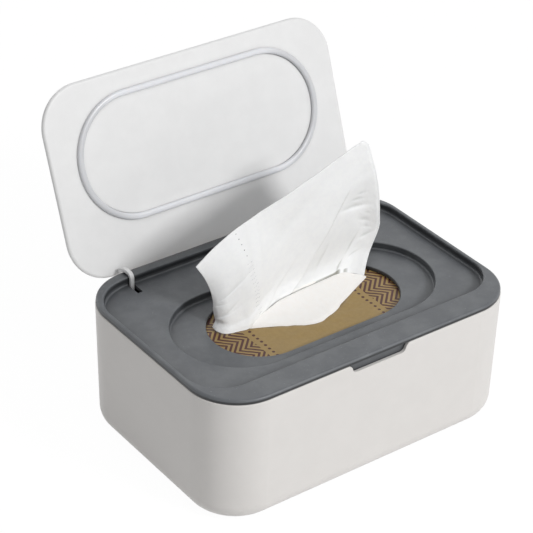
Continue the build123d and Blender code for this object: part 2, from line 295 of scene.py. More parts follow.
print("a screen grey of 128 is", round(grey(128)[0], 3), "to a shader")


# %% White to the eye
def seen_as_white(nodes):
    """1 for rays from the camera, a glossy surface or through a clear one, else 0."""
    seen = nodes.node("ShaderNodeLightPath", output="Is Camera Ray")
    for name in ("Is Glossy Ray", "Is Transmission Ray"):
        seen = seen.math("MAXIMUM", nodes.node("ShaderNodeLightPath", output=name))
    return seen


# %% World
AMBIENT_STRENGTH = 0.28


def make_world():
    """Soft grey light from all round that looks pure white."""
    world = bpy.data.worlds.new("studio")
    scene.world = world
    world.use_nodes = True
    sky = Nodes(world.node_tree)
    sky.tree.nodes.clear()
    light = sky.node("ShaderNodeBackground", None, {0: WHITE, 1: AMBIENT_STRENGTH})
    paint = sky.node("ShaderNodeBackground", None, {0: WHITE, 1: 1.0})
    mixed = sky.node("ShaderNodeMixShader", None, {0: seen_as_white(sky), 1: light, 2: paint})
    sky.node("ShaderNodeOutputWorld", None, {0: mixed})


make_world()
scene.view_settings.view_transform = "Standard"
print("ambient strength", AMBIENT_STRENGTH)

# %% Floor
FLOOR_SIZE = 6.0
FLOOR_PAINT = 0.94
FLOOR_GLOW = 1.03
FLOOR_COLOUR = (0.86, 0.86, 0.86)


def make_floor():
    """A pale floor, mostly painted white for the eye, that still takes a shadow."""
    half = FLOOR_SIZE / 2
    mesh = bpy.data.meshes.new("floor")
    corners = [(-half, -half, 0), (half, -half, 0), (half, half, 0), (-half, half, 0)]
    mesh.from_pydata(corners, [], [(0, 1, 2, 3)])
    floor = bpy.data.objects.new("floor", mesh)
    scene.collection.objects.link(floor)
    finish = Finish("pale_floor", Base_Color=(*FLOOR_COLOUR, 1), Roughness=1.0)
    paint = finish.node("ShaderNodeEmission", None, {"Color": WHITE, "Strength": FLOOR_GLOW})
    surface = Wire(finish, finish.shader.outputs[0])
    share = seen_as_white(finish) * FLOOR_PAINT
    mixed = finish.node("ShaderNodeMixShader", None, {0: share, 1: surface, 2: paint})
    finish.feed(finish.tree.nodes["Material Output"].inputs["Surface"], mixed)
    mesh.materials.append(finish.material)


make_floor()
print("floor", FLOOR_SIZE, "m wide")

# %% Lamps
LAMP_TARGET = Vector((0, 0, 0.08))
# Each lamp: its azimuth right of the front and its elevation, in degrees, then its distance
# and its size, in metres, and its power in watts
LAMPS = {
    "key_lamp": (18, 33, 2.2, 0.46, 25.2),
    "top_lamp": (-25, 66, 0.75, 0.4, 0.78),
    "sheen_lamp": (150, 50, 1.6, 0.6, 1.6),
    "back_lamp": (178, 18, 1.9, 0.9, 5.0),
}


def add_lamp(name, azimuth, elevation, distance, size, power):
    """A square lamp that faces the box."""
    data = bpy.data.lights.new(name, "AREA")
    data.size = size
    data.energy = power
    towards = Vector((sin(azimuth) * cos(elevation), -cos(azimuth) * cos(elevation), sin(elevation)))
    lamp = bpy.data.objects.new(name, data)
    lamp.rotation_mode = "QUATERNION"
    lamp.rotation_quaternion = towards.to_track_quat("Z", "Y")
    lamp.location = LAMP_TARGET + distance * towards
    scene.collection.objects.link(lamp)


for name, (azimuth, elevation, *rest) in LAMPS.items():
    add_lamp(name, radians(azimuth), radians(elevation), *rest)
print("lamps:", *LAMPS)

# %% [markdown]
# ## Moulded plastic
# The tub, cover, lid and arms are injection moulded. Such plastic is never quite flat or
# evenly glossy: the mould's spark-eroded skin leaves a fine grain, thick and thin walls cool
# unevenly and leave a slow waviness, and hands polish and dull it in patches. Inner corners,
# places sunk near tall parts and a band at the gap under the cover's rim are painted darker,
# as painted shade, and outer edges are painted paler, as a painted highlight. Painted textures
# could hold all that, but noise on Object coordinates needs no unwrapping, and the Ambient
# Occlusion and Bevel nodes find corners and edges by themselves. The CAD nodes keep their
# shape and get this finish on their own material slots.

# %% Sizes and shares of the plastic's finish
GRAIN_SIZE = 0.35 * MM
GRAIN_DEPTH = 0.006 * MM
WAVE_SIZE = 30 * MM
WAVE_DEPTH = 0.02 * MM
HANDLING_SIZE = 14 * MM
HANDLING_BAND = (0.35, 0.7)
DUST_SIZE = 0.7 * MM
DUST_BAND = (0.74, 0.80)
DUST_COLOUR = srgb(176, 178, 180)
# Painted shade: the reach and band of the corners, the reach of sunken places, and how dark the painted
# shade is as a share of the darker tone
CORNER_REACH = 3.0 * MM
CORNER_BAND = (0.0, 0.6)
ROOM_REACH = 30 * MM
PAINTED_SHADE_SHARE = 0.22
# Painted highlight on outer edges: its reach, where an edge is open enough, and how much paler it is
# painted
EDGE_REACH = 0.7 * MM
OPEN_BAND = (0.6, 0.95)
EDGE_HIGHLIGHT_SHARE = 1.35
# How far roughness rises with the handling patches and with the grain, and where it starts
ROUGH_PATCHES = 0.10
ROUGH_GRAINS = 0.06
ROUGH_START = -0.08


def scaled(colour, share):
    """A colour with each part multiplied by a share, and no part above 1."""
    return tuple(min(1.0, part * share) for part in colour)


print("grain of", GRAIN_SIZE / MM, "mm, waves of", WAVE_SIZE / MM, "mm")


# %% Finish for moulded plastic
def moulded_plastic(name, colour, shade, roughness, grain=1.0, dust=0.0, corner_shade=0.5, room_shade=0.0, edge_highlight=0.0,
                    gap_shade=None):
    """Satin plastic with painted shade in its corners, its sunken places and the gap under a rim, and a
    painted highlight on its outer edges.
    """
    finish = Finish(name)
    place = finish.place()
    patches = finish.speckle(place, HANDLING_SIZE, detail=4.0, rough=0.6)
    grains = finish.speckle(place, GRAIN_SIZE, detail=2.0)
    waves = finish.speckle(place, WAVE_SIZE, detail=1.0)
    tone = finish.blend(patches.band(*HANDLING_BAND), shade, colour)
    if dust:
        specks = finish.speckle(place, DUST_SIZE, detail=1.0).band(*DUST_BAND) * dust
        tone = finish.blend(specks, tone, DUST_COLOUR)
    corners = finish.shelter(CORNER_REACH)
    # Painted highlight: open outer edges are painted paler, where rounded edges catch the light
    if edge_highlight:
        highlit_edges = finish.edge(EDGE_REACH) * (1.0 - corners).band(*OPEN_BAND) * edge_highlight
        tone = finish.blend(highlit_edges, tone, scaled(colour, EDGE_HIGHLIGHT_SHARE))
    # Painted shade: corners and places sunk near tall parts are painted darker
    painted_shade = corners.band(*CORNER_BAND) * corner_shade
    if room_shade:
        painted_shade = painted_shade.math("MAXIMUM", finish.shelter(ROOM_REACH) * room_shade)
    # Painted shade: a dark band at the foot of the cover's rim, where the gap to the tub lies in shadow
    if gap_shade:
        height = finish.axes(place)[2]
        painted_shade = painted_shade.math("MAXIMUM", height.band(*gap_shade[:2]) * (1.0 - height.band(*gap_shade[2:])))
    finish.set("Base Color", finish.blend(painted_shade, tone, scaled(shade, PAINTED_SHADE_SHARE)))
    finish.set("Roughness", patches * ROUGH_PATCHES + grains * ROUGH_GRAINS + (roughness + ROUGH_START))
    slow = finish.relief(waves, WAVE_DEPTH)
    finish.set("Normal", finish.relief(grains, GRAIN_DEPTH * grain, slow))
    return finish.material


# %% Give the mouldings their plastics
# The painted shade of the gap under the cover's rim lies between these heights: it starts, is full,
# starts to fade and is gone
GAP_SHADE_HEIGHTS = (72.6 * MM, 73.1 * MM, 74.5 * MM, 75.0 * MM)


def give_finish(material, *nodes):
    """Put a material on every slot of some CAD nodes."""
    for node in nodes:
        mesh = frame["nodes"][node].data
        mesh.materials.clear()
        mesh.materials.append(material)
    print(material.name, "is on", *nodes)


tub_plastic = moulded_plastic("tub_white", srgb(227, 224, 221), srgb(225, 222, 219), 0.46, corner_shade=0.22)
cover_plastic = moulded_plastic(
    "cover_grey", srgb(107, 110, 113), srgb(93, 96, 100), 0.42, grain=1.3, dust=0.5, corner_shade=0.55,
    room_shade=1.3, edge_highlight=0.7, gap_shade=GAP_SHADE_HEIGHTS,
)
lid_plastic = moulded_plastic("lid_white", grey(237), grey(234), 0.42, corner_shade=0.25)
give_finish(tub_plastic, "tub")
give_finish(cover_plastic, "cover_frame")
give_finish(lid_plastic, "lid_panel", "hinge_arm_left", "hinge_arm_right")

# %% [markdown]
# ## Hinge pins
# Two short pieces of drawn wire. Drawing leaves lines along the wire. An anisotropic gloss
# would give their sheen from afar, but stretched noise shows the lines themselves: a long way
# in X and tight around it.

# %% Drawn steel wire
WIRE_LINE = 0.08 * MM
WIRE_LINE_DEPTH = 0.004 * MM
WIRE_STRETCH = 40.0


def drawn_steel():
    """Bright wire with fine lines along X."""
    finish = Finish("drawn_steel", Metallic=1.0)
    stretch = {"Vector": finish.place(), "Scale": (1 / WIRE_STRETCH, 1, 1)}
    lines = finish.speckle(finish.node("ShaderNodeMapping", None, stretch), WIRE_LINE, detail=2.0)
    finish.set("Base Color", finish.blend(lines, srgb(176, 177, 179), srgb(205, 206, 208)))
    finish.set("Roughness", lines * 0.15 + 0.25)
    finish.set("Normal", finish.relief(lines, WIRE_LINE_DEPTH))
    return finish.material


give_finish(drawn_steel(), "hinge_pin_left", "hinge_pin_right")

# %% [markdown]
# ## Helpers for made meshes
# Sweeps and grids can come out with their faces turned inwards or with doubled points at a
# seam, so each made mesh goes through one cleaning step.

# %% Clean a mesh
import bmesh

DOUBLE_DISTANCE = 0.002 * MM


def face_outwards(mesh):
    """Merge doubled points and turn every face to the outside."""
    work = bmesh.new()
    work.from_mesh(mesh)
    bmesh.ops.remove_doubles(work, verts=work.verts, dist=DOUBLE_DISTANCE)
    bmesh.ops.recalc_face_normals(work, faces=work.faces)
    work.to_mesh(mesh)
    work.free()


print("faces are turned outwards once doubles within", DOUBLE_DISTANCE / MM, "mm are merged")

# %% [markdown]
# ## The sealing ring
# The ring is one soft section led round a path with half-round ends. That is a rule, so
# Geometry Nodes make it: a rectangle whose corners are rounded until its ends are half
# round is the path, a small rounded rectangle is the section, and Curve to Mesh joins them.
# A small class keeps the wiring readable: named inputs, nodes, and one call that turns the
# finished tree into a plain mesh. In the photo the ring is greyer round its bent ends than
# along its straight parts, because its walls there turn away from the light. The finish
# paints that in as painted shade, greyer with the distance from the middle. What causes
# that isn't known, so the finish just turns greyer with the distance from the middle.

# %% A geometry tree with named inputs
class Growth(Nodes):
    """A Geometry Nodes tree that grows one mesh from named inputs."""

    def __init__(self, name):
        super().__init__(bpy.data.node_groups.new(name, "GeometryNodeTree"))
        self.name = name
        self.tree.interface.new_socket("Geometry", in_out="OUTPUT", socket_type="NodeSocketGeometry")
        self.values = {}
        self.entry = self.tree.nodes.new("NodeGroupInput")

    def size(self, name, value, kind="NodeSocketFloat"):
        """Add a named input and give its wire."""
        item = self.tree.interface.new_socket(name, in_out="INPUT", socket_type=kind)
        self.values[item.identifier] = value
        return Wire(self, self.entry.outputs[name])

    def source(self):
        """The mesh that the tree starts from."""
        self.tree.interface.new_socket("Geometry", in_out="INPUT", socket_type="NodeSocketGeometry")
        return Wire(self, self.entry.outputs["Geometry"])

    def mesh(self, geometry, material, start=None):
        """Realize what was grown, give it its material, and return it as a plain object."""
        real = self.node("GeometryNodeRealizeInstances", None, {0: geometry})
        painted = self.node("GeometryNodeSetMaterial", None, {"Geometry": real, "Material": material})
        self.node("NodeGroupOutput", None, {0: painted})
        base = start or bpy.data.meshes.new(self.name + "_base")
        grower = bpy.data.objects.new(self.name + "_grower", base)
        scene.collection.objects.link(grower)
        modifier = grower.modifiers.new("grow", "NODES")
        modifier.node_group = self.tree
        for identifier, value in self.values.items():
            modifier[identifier] = value
        grown = grower.evaluated_get(bpy.context.evaluated_depsgraph_get())
        mesh = bpy.data.meshes.new_from_object(grown)
        bpy.data.objects.remove(grower)
        mesh.name = self.name
        piece = bpy.data.objects.new(self.name, mesh)
        scene.collection.objects.link(piece)
        print(self.name, "has", len(mesh.vertices), "points")
        return piece


# %% Silicone finish
# The ring's painted shade grows between these distances from the middle, along its length
BENT_SHADE_BAND = (44 * MM, 62 * MM)
SKIN_SIZE = 0.5 * MM
SKIN_DEPTH = 0.006 * MM
PATCH_SIZE = 9 * MM


def milky_silicone():
    """Soft silicone: pale, a little see-through, with painted shade round its bent ends."""
    finish = Finish(
        "milky_silicone", Subsurface_Weight=0.25, Subsurface_Scale=0.8 * MM, IOR=1.5,
        Subsurface_Radius=(1.0, 0.9, 0.8), Coat_Weight=0.5, Coat_Roughness=0.22,
    )
    place = finish.place()
    skin = finish.speckle(place, SKIN_SIZE, detail=2.0)
    patches = finish.speckle(place, PATCH_SIZE, detail=3.0)
    # Painted shade: the bent ends are painted greyer than the straight parts
    bent_shade = finish.axes(place)[0].math("ABSOLUTE").band(*BENT_SHADE_BAND)
    straight_lit_grey = finish.blend(patches, srgb(226, 227, 231), srgb(232, 233, 237))
    bent_shaded_grey = finish.blend(patches, srgb(206, 207, 210), srgb(212, 213, 216))
    finish.set("Base Color", finish.blend(bent_shade, straight_lit_grey, bent_shaded_grey))
    finish.set("Roughness", patches * 0.08 + 0.34)
    finish.set("Normal", finish.relief(skin, SKIN_DEPTH))
    return finish.material


silicone = milky_silicone()
print("ring's finish:", silicone.name)

# %% From the closed lid to the open one
HINGE = frame["record"]["behaviour"]["joints"][1]
HINGE_PLACE = Vector(HINGE["pos_m"])
OPEN_ANGLE = radians(HINGE["range_deg"][1])


def lid_opened(mesh):
    """Swing a mesh that was made on the closed lid to where the open lid holds it."""
    turn = Matrix.Rotation(-OPEN_ANGLE, 4, "X")
    mesh.transform(Matrix.Translation(HINGE_PLACE) @ turn @ Matrix.Translation(-HINGE_PLACE))


print("the lid opens by", HINGE["range_deg"][1], "degrees")

# %% The ring, in the CAD model's sizes and on the closed lid
SEAL_HALF_LENGTH = 75.9 * MM
SEAL_HALF_DEPTH = 34.4 * MM
SEAL_BAND = 3.4 * MM
SEAL_CENTRE_Y = -4.5 * MM
SEAL_BOTTOM = 70.8 * MM
SEAL_TOP = 73.6 * MM
SEAL_ROUND = 1.25 * MM
# A little under half the depth, so that no two points of the path fall together
END_ROUND = 0.492
PATH_CORNER_POINTS = 40
SECTION_CORNER_POINTS = 6


def rounded_loop(grow, width, height, corner, points):
    """A closed rectangle with rounded corners."""
    size = {"Width": width, "Height": height}
    loop = grow.node("GeometryNodeCurvePrimitiveQuadrilateral", None, size)
    rounding = {"Curve": loop, "Count": points, "Radius": corner}
    return grow.node("GeometryNodeFilletCurve", {"mode": "POLY"}, rounding)


def make_ring():
    """The sealing ring, swept round its path."""
    grow = Growth("lid_seal_ring")
    length = grow.size("Length", 2 * SEAL_HALF_LENGTH - SEAL_BAND)
    depth = grow.size("Depth", 2 * SEAL_HALF_DEPTH - SEAL_BAND)
    band = grow.size("Band", SEAL_BAND)
    height = grow.size("Height", SEAL_TOP - SEAL_BOTTOM)
    corner = grow.size("Section corner", SEAL_ROUND)
    path = rounded_loop(grow, length, depth, depth * END_ROUND, PATH_CORNER_POINTS)
    section = rounded_loop(grow, band, height, corner, SECTION_CORNER_POINTS)
    swept = grow.node("GeometryNodeCurveToMesh", None, {"Curve": path, "Profile Curve": section})
    middle = Vector((0, SEAL_CENTRE_Y, (SEAL_BOTTOM + SEAL_TOP) / 2))
    swept = grow.node("GeometryNodeTransform", None, {"Geometry": swept, "Translation": middle})
    ring = grow.mesh(swept, silicone)
    face_outwards(ring.data)
    ring.data.shade_smooth()
    lid_opened(ring.data)
    return ring


ring = make_ring()
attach(ring, "lid")
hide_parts("lid_seal")

# %% [markdown]
# ## Sheets
# The wipes are thin sheets that lie and stand in soft shapes. Each one is stretched between
# four smooth edges, the way a tent is stretched between its poles, and then folds, creases
# and small crumples push its points along their normals. The edges are a few listed points;
# a smooth curve runs through them. A cloth simulation would let gravity choose the
# shape, but a hand has pulled this wipe up and its own dampness holds it there, so here the
# edges and folds are the ones that the photo shows.

# %% Smooth lines through a few points
CURVE_STEPS = 24


def smooth_line(points, count):
    """Evenly spaced points on a Catmull-Rom curve through a few points, given in mm."""
    points = np.array(points, float) * MM
    first = 2 * points[0] - points[1]
    last = 2 * points[-1] - points[-2]
    posts = np.vstack([first, points, last])
    t = np.linspace(0, 1, CURVE_STEPS, endpoint=False)[:, None]
    runs = []
    for a, b, c, d in zip(posts, posts[1:], posts[2:], posts[3:]):
        bend = (2 * a - 5 * b + 4 * c - d) * t ** 2 + (3 * b - a - 3 * c + d) * t ** 3
        runs.append(0.5 * (2 * b + (c - a) * t + bend))
    line = np.vstack([*runs, points[-1:]])
    along = np.concatenate([[0], np.cumsum(np.linalg.norm(np.diff(line, axis=0), axis=1))])
    wanted = np.linspace(0, along[-1], count)
    return np.stack([np.interp(wanted, along, line[:, k]) for k in range(3)], axis=1)


def stretched(bottom, top, left, right):
    """A grid of points stretched between four edges, rows from the bottom up."""
    u = np.linspace(0, 1, len(bottom))[None, :, None]
    v = np.linspace(0, 1, len(left))[:, None, None]
    up = (1 - v) * bottom[None] + v * top[None]
    across = (1 - u) * left[:, None] + u * right[:, None]
    low = (1 - u) * bottom[0] + u * bottom[-1]
    high = (1 - u) * top[0] + u * top[-1]
    return up + across - (1 - v) * low - v * high


print("a straight line of 10 mm in three points:", smooth_line([(0, 0, 0), (10, 0, 0)], 3)[:, 0] / MM)


# %% Normals, soft steps and crumples
SHORTEST = 1e-12
# Each further layer of crumples is finer and lower by this factor
FINER = 2.1


def unit(vectors):
    """Vectors made one long."""
    return vectors / np.maximum(np.linalg.norm(vectors, axis=-1, keepdims=True), SHORTEST)


def grid_normals(grid):
    """The way that each point of a grid faces."""
    return unit(np.cross(np.gradient(grid, axis=1), np.gradient(grid, axis=0)))


def soft_step(value, low, high):
    """0 below low, 1 above high, smooth between."""
    t = np.clip((value - low) / (high - low), 0, 1)
    return t * t * (3 - 2 * t)


def crumple(grid, size, seed, layers=3):
    """Smooth random heights from about -1 to 1, with bumps of one size and finer ones on them."""
    flat = grid.reshape(-1, 3) / size
    heights = np.zeros(len(flat))
    for layer in range(layers):
        scale = FINER ** layer
        shift = Vector((seed * 7.3 + layer * 3.1, seed * 2.9, 11.7 - seed))
        for i, point in enumerate(flat):
            heights[i] += noise.noise(Vector(point * scale) + shift) / scale
    return heights.reshape(grid.shape[:2])


def grid_size(grid):
    """The flat width and length of a grid's cut, from the mean lengths of its rows and columns."""
    across = np.linalg.norm(np.diff(grid, axis=1), axis=2).sum(axis=1).mean()
    up = np.linalg.norm(np.diff(grid, axis=0), axis=2).sum(axis=0).mean()
    return float(across), float(up)


print("a soft step from 0 to 1, a quarter of the way:", round(float(soft_step(0.25, 0, 1)), 3))


# %% A mesh on a grid of points
def grid_mesh(name, grid, flat, closed=False):
    """A mesh on rows of points, which may be closed rings, with its places on the flat cut."""
    rows, columns = grid.shape[:2]
    faces = [
        (r * columns + c, r * columns + (c + 1) % columns,
         (r + 1) * columns + (c + 1) % columns, (r + 1) * columns + c)
        for r in range(rows - 1) for c in range(columns if closed else columns - 1)
    ]
    mesh = bpy.data.meshes.new(name)
    mesh.from_pydata(grid.reshape(-1, 3).tolist(), [], faces)
    corners = np.zeros(len(mesh.loops), int)
    mesh.loops.foreach_get("vertex_index", corners)
    mesh.uv_layers.new(name="cut").data.foreach_set("uv", flat.reshape(-1, 2)[corners].ravel())
    return mesh


def flat_places(grid):
    """Where each point of a grid lies on its cut, laid flat, in metres."""
    width, length = grid_size(grid)
    rows, columns = grid.shape[:2]
    u, v = np.meshgrid(np.linspace(0, width, columns), np.linspace(0, length, rows))
    return np.stack([u, v], axis=2)


# %% Turn a surface into a sheet with a thickness
def thicken(piece, thickness):
    """Give an open surface a thickness, half to each side, and leave a plain closed mesh."""
    face_outwards(piece.data)
    wall = piece.modifiers.new("thickness", "SOLIDIFY")
    wall.thickness = thickness
    wall.offset = 0
    evaluated = piece.evaluated_get(bpy.context.evaluated_depsgraph_get())
    mesh = bpy.data.meshes.new_from_object(evaluated)
    piece.modifiers.clear()
    middle = piece.data
    piece.data = mesh
    bpy.data.meshes.remove(middle)
    mesh.name = piece.name
    face_outwards(mesh)
    mesh.shade_smooth()
    print(piece.name, "has", len(mesh.polygons), "faces")


def thin_piece(name, mesh, material, thickness):
    """A closed thin piece whose middle surface is the mesh."""
    mesh.materials.append(material)
    piece = bpy.data.objects.new(name, mesh)
    scene.collection.objects.link(piece)
    thicken(piece, thickness)
    return piece


def sheet_piece(name, grid, material, thickness, hollow=None):
    """A closed thin sheet whose middle surface is the grid, and the painted shade of its folds at each
    point.
    """
    mesh = grid_mesh(name, grid, flat_places(grid))
    if hollow is not None:
        mesh.attributes.new("hollow", "FLOAT", "POINT").data.foreach_set("value", hollow.ravel())
    return thin_piece(name, mesh, material, thickness)


# %% [markdown]
# ## Non-woven cloth
# A wipe is a web of fibres pressed together with jets of water. From a step away it is a
# soft white, a little puckered, with hardly any weave; close up there are tangled fibres,
# most of them along the machine's direction, and faint rows that the jets leave. The pattern
# follows the sheet through its UV map, so it folds with the cloth. An attribute holds the
# painted shade that each point gets in a fold, and there the white is painted a little grey.
# A scan of real cloth would need an image file; noise does as well at this distance and
# repeats nowhere.

# %% Non-woven finish
FIBRE_WIDTH = 0.10 * MM
FIBRE_STRETCH = 9.0
FIBRE_TURN = radians(68)
JET_PITCH = 0.9 * MM
CLOTH_LUMP = 3.5 * MM
PUCKER_SIZE = 1.3 * MM
CLOTH_RELIEF = 0.24 * MM
# Painted shade: the grey that the folds are painted
FOLD_SHADE_GREY = srgb(150, 150, 140)


def non_woven(name, colour, shade):
    """Damp non-woven cloth: tangled fibres, faint jet rows, uneven density and painted shade in its
    folds.
    """
    finish = Finish(
        name, Sheen_Weight=0.10, Subsurface_Weight=0.12, Subsurface_Scale=0.15 * MM,
        Subsurface_Radius=(1.0, 1.0, 1.0),
    )
    hollow = finish.node("ShaderNodeAttribute", {"attribute_name": "hollow"}, None, "Fac")
    cut = finish.cut()
    along = {"Vector": cut, "Scale": (1, 1 / FIBRE_STRETCH, 1)}
    across = {"Vector": cut, "Rotation": (0, 0, FIBRE_TURN), "Scale": (1, 1.6 / FIBRE_STRETCH, 1)}
    along, across = [finish.node("ShaderNodeMapping", None, way) for way in (along, across)]
    fibres = finish.speckle(along, FIBRE_WIDTH, detail=3.0, rough=0.65) * 0.6
    fibres = fibres + finish.speckle(across, 1.4 * FIBRE_WIDTH, detail=3.0, rough=0.65) * 0.4
    lumps = finish.speckle(cut, CLOTH_LUMP, detail=4.0, rough=0.6)
    column = finish.axes(cut)[0]
    rows = (column * (2 * pi / JET_PITCH) + lumps * 5.0).math("SINE") * 0.5 + 0.5
    puckers = finish.speckle(cut, PUCKER_SIZE, detail=2.0, rough=0.55)
    height = fibres * 0.20 + lumps * 0.25 + puckers * 0.52 + rows * 0.03
    plain = finish.blend(lumps.band(0.35, 0.65), shade, colour)
    # Painted shade: the white is painted grey in the folds
    finish.set("Base Color", finish.blend(hollow, plain, FOLD_SHADE_GREY))
    finish.set("Roughness", fibres * 0.15 + 0.72)
    finish.set("Normal", finish.relief(height, CLOTH_RELIEF))
    return finish.material


wipe_cloth = non_woven("wipe_cloth", srgb(253, 254, 254), srgb(250, 251, 252))
next_cloth = non_woven("next_wipe_cloth", srgb(255, 253, 250), srgb(254, 251, 247))
print("cloths:", wipe_cloth.name, next_cloth.name)

# %% [markdown]
# ## The pack
# The wipes come in a pillow of printed film. Under the cover it is a soft-edged block whose
# top shows through the opening, with a slit that has been pulled open to a pointed lens. The
# film is a stack of rings: the first follows the slit, the next ones spread to the outline of
# the top, and the rest roll over the edge, run down the sides and close under the pack. Each
# ring knows how far along the film it is, and that gives the print its place. A subdivided
# box would be quicker, but its film couldn't open at the slit or carry the print over an edge.

# %% Pack sizes
pack_low, pack_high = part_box("pack_film")
PACK_CENTRE = (pack_low + pack_high) / 2
PACK_HALF_LENGTH = (pack_high.x - pack_low.x) / 2
PACK_HALF_DEPTH = (pack_high.y - pack_low.y) / 2
PACK_CORNER = 12 * MM
PACK_ROUND = 9 * MM
FILM_THICKNESS = 0.16 * MM
LONG_SIDE_POINTS = 60
SHORT_SIDE_POINTS = 34
CORNER_POINTS = 9
print("pack:", [round(2 * c / MM, 1) for c in (PACK_HALF_LENGTH, PACK_HALF_DEPTH)], "mm")


# %% The outline that every ring follows
def pack_outline(inset):
    """Points round the pack, moved inwards by inset, and the way that each one faces."""
    corner = PACK_CORNER - inset
    reach = (PACK_HALF_LENGTH - PACK_CORNER, PACK_HALF_DEPTH - PACK_CORNER)
    points, ways = [], []
    for quarter, signs in enumerate(((1, 1), (-1, 1), (-1, -1), (1, -1))):
        centre = np.array([PACK_CENTRE.x + signs[0] * reach[0], PACK_CENTRE.y + signs[1] * reach[1]])
        for step in range(CORNER_POINTS):
            angle = (quarter + step / (CORNER_POINTS - 1)) * pi / 2
            way = np.array([cos(angle), sin(angle)])
            points.append(centre + corner * way)
            ways.append(way)
        run = 2 * reach[quarter % 2]
        count = (LONG_SIDE_POINTS, SHORT_SIDE_POINTS)[quarter % 2]
        ahead = np.array([-way[1], way[0]])
        for step in range(1, count):
            points.append(points[-1] + ahead * run / count)
            ways.append(way)
    return np.array(points), np.array(ways)


outline, ways = pack_outline(PACK_ROUND)
print("points round the pack:", len(outline))

# %% The slit, pulled open to a lens
SLIT_FRONT = (
    (-48.0, 6.0), (-33.5, -0.8), (-18.0, -8.4), (-5.0, -15.4), (1.5, -16.5),
    (10.5, -14.0), (24.0, -7.6), (38.0, -1.0), (46.5, 3.4),
)
SLIT_BACK = (
    (-48.0, 6.0), (-39.0, 12.4), (-22.0, 17.8), (-2.0, 20.2), (20.0, 18.4), (36.0, 14.0),
    (43.5, 9.6), (46.3, 6.0), (46.5, 3.4),
)
SLIT_POINTS = 90
SLIT_MIDDLE = np.array([-1.0, 3.5]) * MM


def lip(points):
    """One lip of the slit, from its left end to its right end."""
    return smooth_line([(x, y, 0) for x, y in points], SLIT_POINTS)[:, :2]


def slit_seen_from(points):
    """Where the line from the slit's middle to each point crosses the slit's edge."""
    loop = np.vstack([lip(SLIT_FRONT), lip(SLIT_BACK)[-2:0:-1]]) - SLIT_MIDDLE
    angles = np.arctan2(loop[:, 1], loop[:, 0])
    order = np.argsort(angles)
    far = np.linalg.norm(loop, axis=1)[order]
    rays = points - SLIT_MIDDLE
    wanted = np.arctan2(rays[:, 1], rays[:, 0])
    reach = np.interp(wanted, angles[order], far, period=2 * pi)
    return SLIT_MIDDLE + reach[:, None] * unit(rays)


print("the slit is", round(np.ptp(lip(SLIT_FRONT)[:, 0]) / MM, 1), "mm long")

# %% Rings of film from the slit to the edge of the top
TOP_RINGS = 26
SLIT_LIFT = 0.5 * MM
SLIT_LIFT_REACH = 12 * MM
FILM_TOP = pack_high.z - FILM_THICKNESS


def film_ring(edge, height, flat):
    """One ring of film: its points at a height, and their places on the flat film."""
    return np.column_stack([edge, np.broadcast_to(height, len(edge))]), flat


def top_rings(slit):
    """The flat top, which lifts a little where the wipe pushes through."""
    for share in np.arange(TOP_RINGS) / TOP_RINGS:
        edge = (1 - share) * slit + share * outline
        near = 1 - soft_step(np.linalg.norm(edge - slit, axis=1), 0, SLIT_LIFT_REACH)
        yield film_ring(edge, FILM_TOP + SLIT_LIFT * near, edge)


rings = list(top_rings(slit_seen_from(outline)))
print("rings of film on the top:", len(rings))

# %% Rings of film down the sides and under the pack
ROUND_RINGS = 7
WALL_RINGS = 14
UNDER_RINGS = 5
# The share of a ring's step that stays open in the middle of the underside
UNDER_HOLE = 0.1
FILM_BOTTOM = pack_low.z + FILM_THICKNESS


def side_rings():
    """The rolled edges and the walls; the print runs on over them."""
    wall = FILM_TOP - FILM_BOTTOM - 2 * PACK_ROUND
    quarter = PACK_ROUND * pi / 2
    turns = np.linspace(0, pi / 2, ROUND_RINGS + 1)
    # Each ring: how far out and down it is, and how far along the film
    steps = [(PACK_ROUND * sin(a), PACK_ROUND * (1 - cos(a)), PACK_ROUND * a) for a in turns]
    for drop in np.linspace(0, wall, WALL_RINGS + 1)[1:]:
        steps.append((PACK_ROUND, PACK_ROUND + drop, quarter + drop))
    for a in turns[1:]:
        down = PACK_ROUND * (1 + sin(a)) + wall
        steps.append((PACK_ROUND * cos(a), down, quarter + wall + PACK_ROUND * a))
    for out, down, run in steps:
        yield film_ring(outline + out * ways, FILM_TOP - down, outline + run * ways)


def under_rings(run):
    """The flat underside, closed to a small hole in its middle."""
    for step in range(1, UNDER_RINGS + 1):
        share = step / (UNDER_RINGS + UNDER_HOLE)
        edge = (1 - share) * outline + share * outline.mean(axis=0)
        yield film_ring(edge, FILM_BOTTOM, outline + run * ways)


rings += side_rings()
rings += under_rings(np.linalg.norm(rings[-1][1][0] - outline[0]))
film_grid, film_print = (np.array(part) for part in zip(*rings))
print("film rings:", film_grid.shape)

# %% Crumples in the film
FILM_CRUMPLE = 0.30 * MM
FILM_CRUMPLE_SIZE = 13 * MM
FILM_DENT = 1.1 * MM
FILM_DENT_SIZE = 34 * MM
FILM_LYING = 2 * MM


def film_normals(grid):
    """The way each film point faces, outwards."""
    along = np.roll(grid, -1, axis=1) - np.roll(grid, 1, axis=1)
    return unit(np.cross(np.gradient(grid, axis=0), along))


def crumpled_film(grid):
    """Sharp little crumples on the top, and softer, deeper dents in the walls, all inwards."""
    fine = 1 - 2 * np.abs(crumple(grid, FILM_CRUMPLE_SIZE, seed=3))
    dents = 0.5 + 0.5 * crumple(grid, FILM_DENT_SIZE, seed=5, layers=2)
    wall = soft_step(FILM_TOP - grid[..., 2], 0, PACK_ROUND)
    lying = soft_step(grid[..., 2] - FILM_BOTTOM, 0, FILM_LYING)
    push = (fine - 1) * FILM_CRUMPLE * (1 + wall) - dents * FILM_DENT * wall
    return grid + film_normals(grid) * (push * lying)[..., None]


film_grid = crumpled_film(film_grid)
print("film height over the floor:", round(float(film_grid[..., 2].max()) / MM, 2), "mm")

